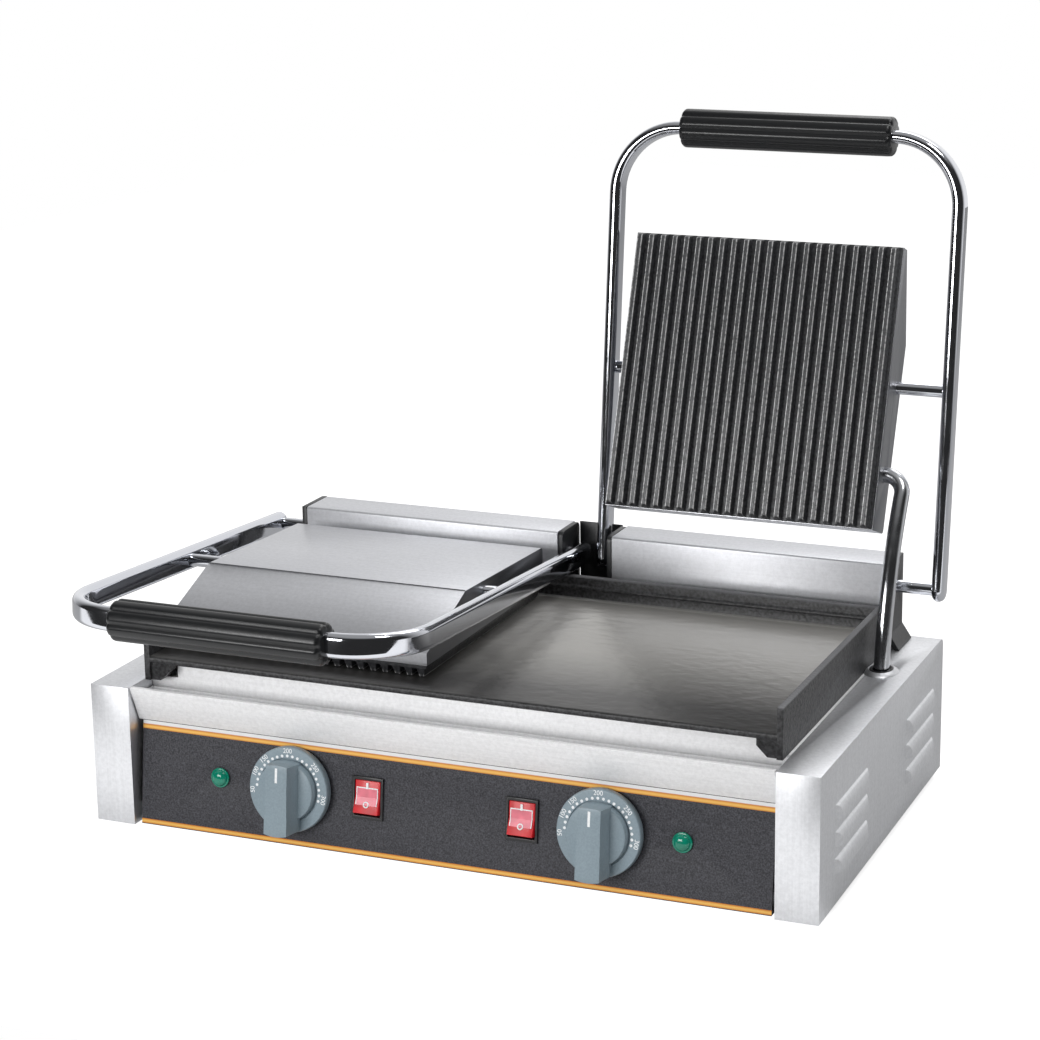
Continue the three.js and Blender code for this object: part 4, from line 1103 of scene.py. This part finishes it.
def modelKnob():
    dial = turnedPiece(
        [
            (0, 1.0), (30.5, 1.0), (31.6, 1.6), (32.0, 2.6), (32.0, 6.9), (31.8, 7.9),
            (31.3, 8.4), (30.6, 8.5), (24.1, 8.5), (23.8, 8.2), (23.8, 7.2), (22.7, 7.2),
            (22.6, 7.6), (22.5, 12.4), (22.1, 13.4), (21.3, 13.8), (0, 13.8),
        ],
        steps=96,
    )
    deselectAll()
    bpy.ops.mesh.primitive_cube_add(size=1, location=(0, 0, 0))
    bar = bpy.context.active_object
    low, high, foot = knob["barLow"], knob["barHigh"], knob["barFoot"]
    tall = knob["barOut"] - foot
    bar.data.transform(
        Matrix.Translation((0, (low + high) / 2, (knob["barOut"] + foot) / 2))
        @ Matrix.Diagonal((2 * knob["bar"], high - low, tall, 1))
    )
    enterEdit(bar)
    pick(bar, lambda e: abs(middle(e).y) < 20, "EDGE")
    bpy.ops.mesh.subdivide(number_cuts=knob["barCuts"])
    pick(bar, lambda e: abs(e.verts[0].co.z - e.verts[1].co.z) > 10, "EDGE")
    bpy.ops.mesh.subdivide(number_cuts=len(knob["scoop"]) - 2)
    # the bar's sides are scooped: wide at the foot and towards its lower end
    rise = tall / (len(knob["scoop"]) - 1)
    for level, share in enumerate(knob["scoop"]):
        pick(bar, lambda v: abs(v.co.z - foot - level * rise) < 0.1)
        bpy.ops.transform.resize(value=(share, 1, 1), center_override=(0, 0, 0))
    # its lower half widens in three steps
    length, growth = knob["flare"]
    for step in range(3):
        pick(bar, lambda v: v.co.y < -length * step)
        bpy.ops.transform.resize(value=(growth, 1, 1), center_override=(0, 0, 0))
    # the top edge dips at the end with the pointer line
    pick(bar, lambda e: middle(e).y > high - 1 and middle(e).z > 20, "EDGE")
    bpy.ops.transform.translate(value=(0, 0, -knob["dip"]))
    leaveEdit()
    deselectAll()
    # a blank as round as the cap above and as long as the bar below cuts the bar's ends
    bpy.ops.mesh.primitive_cylinder_add(vertices=96, radius=-low, depth=60, location=(0, 0, 0))
    blank = bpy.context.active_object
    blank.data.transform(Matrix.Diagonal((1, knob["cap"] / -low, 1, 1)))
    enterEdit(blank)
    pick(blank, lambda v: v.co.y < 0)
    bpy.ops.transform.resize(value=(1, -low / knob["cap"], 1), center_override=(0, 0, 0))
    leaveEdit()
    applyModifier(bar, "BOOLEAN", operation="INTERSECT", object=blank, solver="EXACT")
    bpy.data.objects.remove(blank)
    applyModifier(
        bar, "BEVEL", width=knob["edge"], segments=4, limit_method="ANGLE",
        angle_limit=math.radians(50), use_clamp_overlap=True,
    )
    applyModifier(dial, "BOOLEAN", operation="UNION", object=bar, solver="EXACT")
    bpy.data.objects.remove(bar)
    return dial


def markText(text, size, place, turn):
    curve = bpy.data.curves.new("mark", "FONT")
    curve.body = text
    curve.size = size
    curve.align_x, curve.align_y = "CENTER", "CENTER"
    curve.extrude = 0.12
    curve.offset = 0.02  # a little bolder than the plain letters
    piece = bpy.data.objects.new("mark", curve)
    bpy.context.scene.collection.objects.link(piece)
    makeActive(piece)
    bpy.ops.object.convert(target="MESH")
    piece = bpy.context.active_object
    piece.data.transform(Matrix.Translation(place) @ Matrix.Rotation(turn, 4, "Z"))
    return piece


def joined(pieces):
    deselectAll()
    for piece in pieces:
        piece.select_set(True)
    bpy.context.view_layer.objects.active = pieces[0]
    bpy.ops.object.join()
    return bpy.context.active_object


def modelKnobMarks():
    marks = []
    spec = knob
    for index in range(spec["dots"]):
        share = index / (spec["dots"] - 1)
        turn = math.radians(spec["firstDot"] + (spec["lastDot"] - spec["firstDot"]) * share)
        out = spec["dotRadius"]
        deselectAll()
        bpy.ops.mesh.primitive_cylinder_add(
            vertices=16, radius=spec["dotSize"], depth=0.3,
            location=(out * math.cos(turn), out * math.sin(turn), spec["face"] - 0.05),
        )
        dot = bpy.context.active_object
        bpy.ops.object.transform_apply(location=True, rotation=True, scale=True)
        marks.append(dot)
    for text, degrees in spec["numbers"].items():
        turn = math.radians(degrees)
        out = spec["numberRadius"]
        place = (out * math.cos(turn), out * math.sin(turn), spec["face"])
        marks.append(markText(text, spec["numberSize"], place, turn - math.pi / 2))
    deselectAll()
    bpy.ops.mesh.primitive_cube_add(size=1, location=(0, 0, 0))
    line = bpy.context.active_object
    place = Matrix.Translation((0, spec["pointerMiddle"], spec["barOut"] - 0.3))
    line.data.transform(place @ Matrix.Diagonal((*spec["pointer"], 1)))
    marks.append(line)
    return joined(marks)


print("knobs")
knobModel = modelKnob()
marksModel = modelKnobMarks()
for side in sideSign:
    place = controlMatrix(side, "knobX") @ outOfPanel
    piece = copyOf(knobModel, side + "_dial")
    placeMesh(piece, place)
    finishPiece(
        piece, side + "_knob_dial", side + "_knob", knobPlastic,
        [side + "_knob"], smooth=35,
    )
    piece = copyOf(marksModel, side + "_scale")
    placeMesh(piece, place)
    finishPiece(piece, side + "_knob_scale", side + "_knob", whiteInkAndHighlight)
bpy.data.objects.remove(knobModel)
bpy.data.objects.remove(marksModel)

# Pilot lamps, feet and small trim

print("lamps and feet")
foot = {"x": 208.0, "front": 62.0, "rear": 290.0}
lensModel = turnedPiece(
    [
        (0, 0.3), (7.0, 0.3), (7.4, 0.7), (7.4, 1.7), (7.0, 2.1), (6.3, 2.2),
        (6.0, 2.9), (5.2, 4.0), (4.0, 4.8), (2.4, 5.25), (0, 5.4),
    ],
    steps=48,
)
footModel = turnedPiece(
    [(0, 0), (15.0, 0), (14.9, -1.0), (13.8, -7.0), (13.5, -7.7), (12.9, -8.0), (6, -8.0),
     (5.6, -7.6), (4.6, -6.2), (0, -6.0)]
)
for side, sign in sideSign.items():
    piece = copyOf(lensModel, side + "_lamp")
    placeMesh(piece, controlMatrix(side, "pilotX") @ outOfPanel)
    finishPiece(
        piece, side + "_lamp_lens", "body", greenPlastic,
        [side + "_pilot_lens"], smooth=30,
    )
    for end in ("front", "rear"):
        piece = copyOf(footModel, side + end)
        spot = Matrix.Translation((sign * foot["x"], foot[end], 0))
        placeMesh(piece, baseMatrix() @ spot)
        finishPiece(
            piece, side + "_" + end + "_foot_pad", "body", footRubber,
            [side + "_" + end + "_foot"], smooth=40,
        )
bpy.data.objects.remove(lensModel)
bpy.data.objects.remove(footModel)

# Painted shade lines along the folds across the upper covers, where the front slope begins

print("cover folds")
fold = {"length": 217.4, "y": -35.3, "rise": 10.75, "radius": 0.4}
foldModel = modelRod(fold["radius"], fold["length"])
for side, sign in sideSign.items():
    piece = copyOf(foldModel, side + "_fold_shade_line")
    place = Matrix.Translation((sign * plate["centre"], fold["y"], fold["rise"]))
    placeMesh(piece, plateMatrix(side) @ place)
    finishPiece(piece, side + "_cover_fold_shade", side + "_plate", foldShade)
bpy.data.objects.remove(foldModel)

# Rocker marks: a bar above and a ring below, and between them a painted reflection, a rose
# sheet with painted highlights along its rims

rocker = {
    "pivotIn": 3.4,
    "tilt": 9.0,
    "waist": 5.0,
    "lean": 9.31,
    "window": 8.6,  # half the painted reflection's width
    "halves": {1: (7.2, 3.5), -1: (6.2, 3.0)},  # its height and its middle on each half
    "sheet": 0.5,  # thickness of the window and the marks
    "windowOut": 0.3,  # how far each stands out of the rocker
    # the pale rims round the reflection are painted highlights
    "rimOut": 0.4,
    "markOut": 0.5,
    "rim": 0.6,
    "topRim": 0.8,
    "topRise": 7.0,
    "bar": (1.7, 4.6),
    "barRise": 8.6,
    "ring": (1.9, 0.55),  # the ring's radius and its line's
    "ringRise": -5.6,
}


def slab(size, half, rise, out):
    # A thin plate on one half of the rocker's bent face; half is 1 above and -1 below.
    deselectAll()
    bpy.ops.mesh.primitive_cube_add(size=1, location=(0, 0, 0))
    piece = bpy.context.active_object
    lean = Matrix.Rotation(half * math.radians(rocker["lean"]), 4, "X")
    piece.data.transform(
        Matrix.Translation((0, -rocker["waist"], 0))
        @ lean
        @ Matrix.Translation((0, -out, half * rise))
        @ Matrix.Diagonal((*size, 1))
    )
    return piece


def modelRockerReflection():
    # a rose sheet on both halves of the rocker's face: a painted reflection
    wide, sheet = 2 * rocker["window"], rocker["sheet"]
    return joined([
        slab((wide, sheet, length), half, rise, rocker["windowOut"])
        for half, (length, rise) in rocker["halves"].items()
    ])


def modelRockerMarksAndHighlights():
    # The bar, the pale rims round the painted reflection, which are painted highlights, and the
    # ring.
    spec = rocker
    sheet = spec["sheet"]
    wide, tall = spec["bar"]
    pieces = [
        slab((wide, sheet, tall), 1, spec["barRise"], spec["markOut"]),
        # painted highlights: pale rims along the reflection's top and sides
        slab((2 * spec["window"], sheet, spec["topRim"]), 1, spec["topRise"], spec["rimOut"]),
    ]
    for sign in (-1, 1):
        for half, (length, rise) in spec["halves"].items():
            edge = slab((spec["rim"], sheet, length - 0.2), half, rise, spec["rimOut"])
            out = sign * (spec["window"] - spec["rim"] / 2)
            edge.data.transform(Matrix.Translation((out, 0, 0)))
            pieces.append(edge)
    deselectAll()
    across, wire = spec["ring"]
    bpy.ops.mesh.primitive_torus_add(
        major_radius=across, minor_radius=wire, major_segments=32, minor_segments=8,
    )
    ring = bpy.context.active_object
    ring.data.transform(
        Matrix.Translation((0, -spec["waist"], 0))
        @ Matrix.Rotation(-math.radians(spec["lean"]), 4, "X")
        @ Matrix.Translation((0, -spec["markOut"], spec["ringRise"]))
        @ Matrix.Rotation(math.pi / 2, 4, "X")
    )
    pieces.append(ring)
    return joined(pieces)


print("rocker marks")
windowModel = modelRockerReflection()
rockerMarksAndHighlightsModel = modelRockerMarksAndHighlights()
for side in sideSign:
    tilt = Matrix.Rotation(-math.radians(rocker["tilt"]), 4, "X")
    place = controlMatrix(side, "rockerX", rocker["pivotIn"]) @ tilt
    # the rose sheet is a painted reflection, and the marks carry painted highlights along its
    # rims
    piece = copyOf(windowModel, side + "_window")
    placeMesh(piece, place)
    finishPiece(piece, side + "_rocker_window", side + "_rocker", roseReflection)
    piece = copyOf(rockerMarksAndHighlightsModel, side + "_marks")
    placeMesh(piece, place)
    finishPiece(piece, side + "_rocker_marks", side + "_rocker", whiteInkAndHighlight)
bpy.data.objects.remove(windowModel)
bpy.data.objects.remove(rockerMarksAndHighlightsModel)

# Pressed steel rings round the conduits' bushes on top of the end covers

print("bush rings")
bushRing = {"y": 230.9, "top": 108.0, "across": 1.22}  # longer from front to rear
ringModel = turnedPiece(
    [(8.9, 0), (13.4, 0), (13.0, 0.7), (11.4, 1.7), (9.5, 2.6), (8.9, 2.4), (8.9, 0)]
)
for side, sign in sideSign.items():
    piece = copyOf(ringModel, side + "_ring")
    place = Matrix.Translation((sign * conduit["x"], bushRing["y"], bushRing["top"]))
    placeMesh(piece, baseMatrix() @ place @ Matrix.Scale(bushRing["across"], 4, (0, 1, 0)))
    finishPiece(piece, side + "_bush_ring", "body", stainlessX)
bpy.data.objects.remove(ringModel)

# Floor, light and camera

print("studio")
studio = {
    "floorSize": 4,
    "floorMiddle": 1.54,
    "floorGrey": (0.55, 0.55, 0.55, 1),
    "floorWhite": 0.75,  # what the camera sees besides the light that falls on the floor
    "glossFront": 0.75,  # the floor's glow in gloss, in front of the grill and elsewhere
    "glossElsewhere": 0.05,
    "ambient": 0.42,
}
# each softbox's place, what it points at, its size and its power
softboxes = {
    "key": ((-0.85, -2.4, 0.7), (0, 0, 0.15), (1.3, 0.8), 34),
    "top": ((0.2, 1.4, 2.1), (0, 0, 0.1), (1.4, 1.0), 12.5),
    "side": ((1.0, -0.4, 2.2), (0.2, 0, 0.1), (0.5, 0.5), 12),
}
deselectAll()
bpy.ops.mesh.primitive_plane_add(
    size=studio["floorSize"], location=(0, studio["floorMiddle"], 0)
)
floor = bpy.context.active_object
floor.name = "floor"


def seenRay(tree):
    # One for rays of the camera, of gloss and through glass, and nought for all other rays.
    path = addNode(tree, "LightPath")
    seen = path.outputs["Is Camera Ray"]
    for kind in ("Is Glossy Ray", "Is Transmission Ray"):
        links = {0: seen, 1: path.outputs[kind]}
        seen = addNode(tree, "Math", {"operation": "MAXIMUM"}, links=links).outputs[0]
    return path, seen


# Matt painted board: white to the camera, and a plain grey for the light it gives back.
floorPaint, floorTree, floorShader = newMaterial("white_floor")
floorPath, floorSeen = seenRay(floorTree)
floorPlace = addNode(floorTree, "TexCoord").outputs["Object"]
floorParts = addNode(floorTree, "SeparateXYZ", links={"Vector": floorPlace})
frontGlow = addNode(
    floorTree,
    "MapRange",
    values={
        "From Min": -1.74,  # metres from the floor's own middle
        "From Max": -1.64,
        "To Min": studio["glossFront"],
        "To Max": studio["glossElsewhere"],
    },
    links={"Value": floorParts.outputs["Y"]},
)
seenGlow = addNode(
    floorTree, "Math", {"operation": "MULTIPLY"}, links={0: floorSeen, 1: frontGlow}
)
floorGlow = addNode(
    floorTree,
    "Math",
    {"operation": "MULTIPLY_ADD"},
    {1: studio["floorWhite"]},
    {0: floorPath.outputs["Is Camera Ray"], 2: seenGlow},
)
fillInputs(
    floorTree,
    floorShader,
    {
        "Base Color": studio["floorGrey"],
        "Roughness": 0.95,
        "Specular IOR Level": 0.0,
        "Emission Color": (1, 1, 1, 1),
    },
    {"Emission Strength": floorGlow},
)
floor.data.materials.append(floorPaint)

# A white room for the camera. Gloss sees it darker behind the camera and near the floor.
world = bpy.data.worlds.new("studio")
bpy.context.scene.world = world
world.use_nodes = True
worldTree = world.node_tree
worldPath, worldSeen = seenRay(worldTree)
around = addNode(worldTree, "TexCoord").outputs["Generated"]
compass = addNode(worldTree, "SeparateXYZ", links={"Vector": around})
room = addNode(
    worldTree,
    "MapRange",
    values={"From Min": 0.0, "From Max": 0.75, "To Min": 0.03, "To Max": 1.0},
    links={"Value": compass.outputs["Y"]},
)
sky = addNode(
    worldTree,
    "MapRange",
    values={"From Min": 0.6, "From Max": 0.9, "To Min": 0.0, "To Max": 0.4},
    links={"Value": compass.outputs["Z"]},
)
brighter = addNode(worldTree, "Math", {"operation": "MAXIMUM"}, links={0: room, 1: sky})
shown = addNode(
    worldTree,
    "Math",
    {"operation": "MAXIMUM"},
    links={0: brighter, 1: worldPath.outputs["Is Camera Ray"]},
)
level = addNode(
    worldTree,
    "MapRange",
    values={"To Min": studio["ambient"]},
    links={"Value": worldSeen, "To Max": shown},
)
fillInputs(
    worldTree, worldTree.nodes["Background"], {"Color": (1, 1, 1, 1)}, {"Strength": level}
)

for name, (place, target, size, energy) in softboxes.items():
    light = bpy.data.lights.new(name, "AREA")
    light.shape = "RECTANGLE"
    light.size, light.size_y = size
    light.energy = energy
    item = bpy.data.objects.new(name, light)
    item.location = place
    item.rotation_euler = (Vector(target) - Vector(place)).to_track_quat("-Z", "Y").to_euler()
    bpy.context.scene.collection.objects.link(item)

camera = bpy.data.cameras.new("camera")
camera.sensor_width = 36
camera.lens = 91.855
camera.shift_x = -0.12016
camera.shift_y = -0.04845
view = bpy.data.objects.new("camera", camera)
view.location = (0.7690005, -1.7684241, 0.7571259)
view.rotation_euler = [math.radians(v) for v in (75.79695, 0.15583, 20.62951)]
bpy.context.scene.collection.objects.link(view)
bpy.context.scene.camera = view
bpy.context.scene.view_settings.view_transform = "Standard"
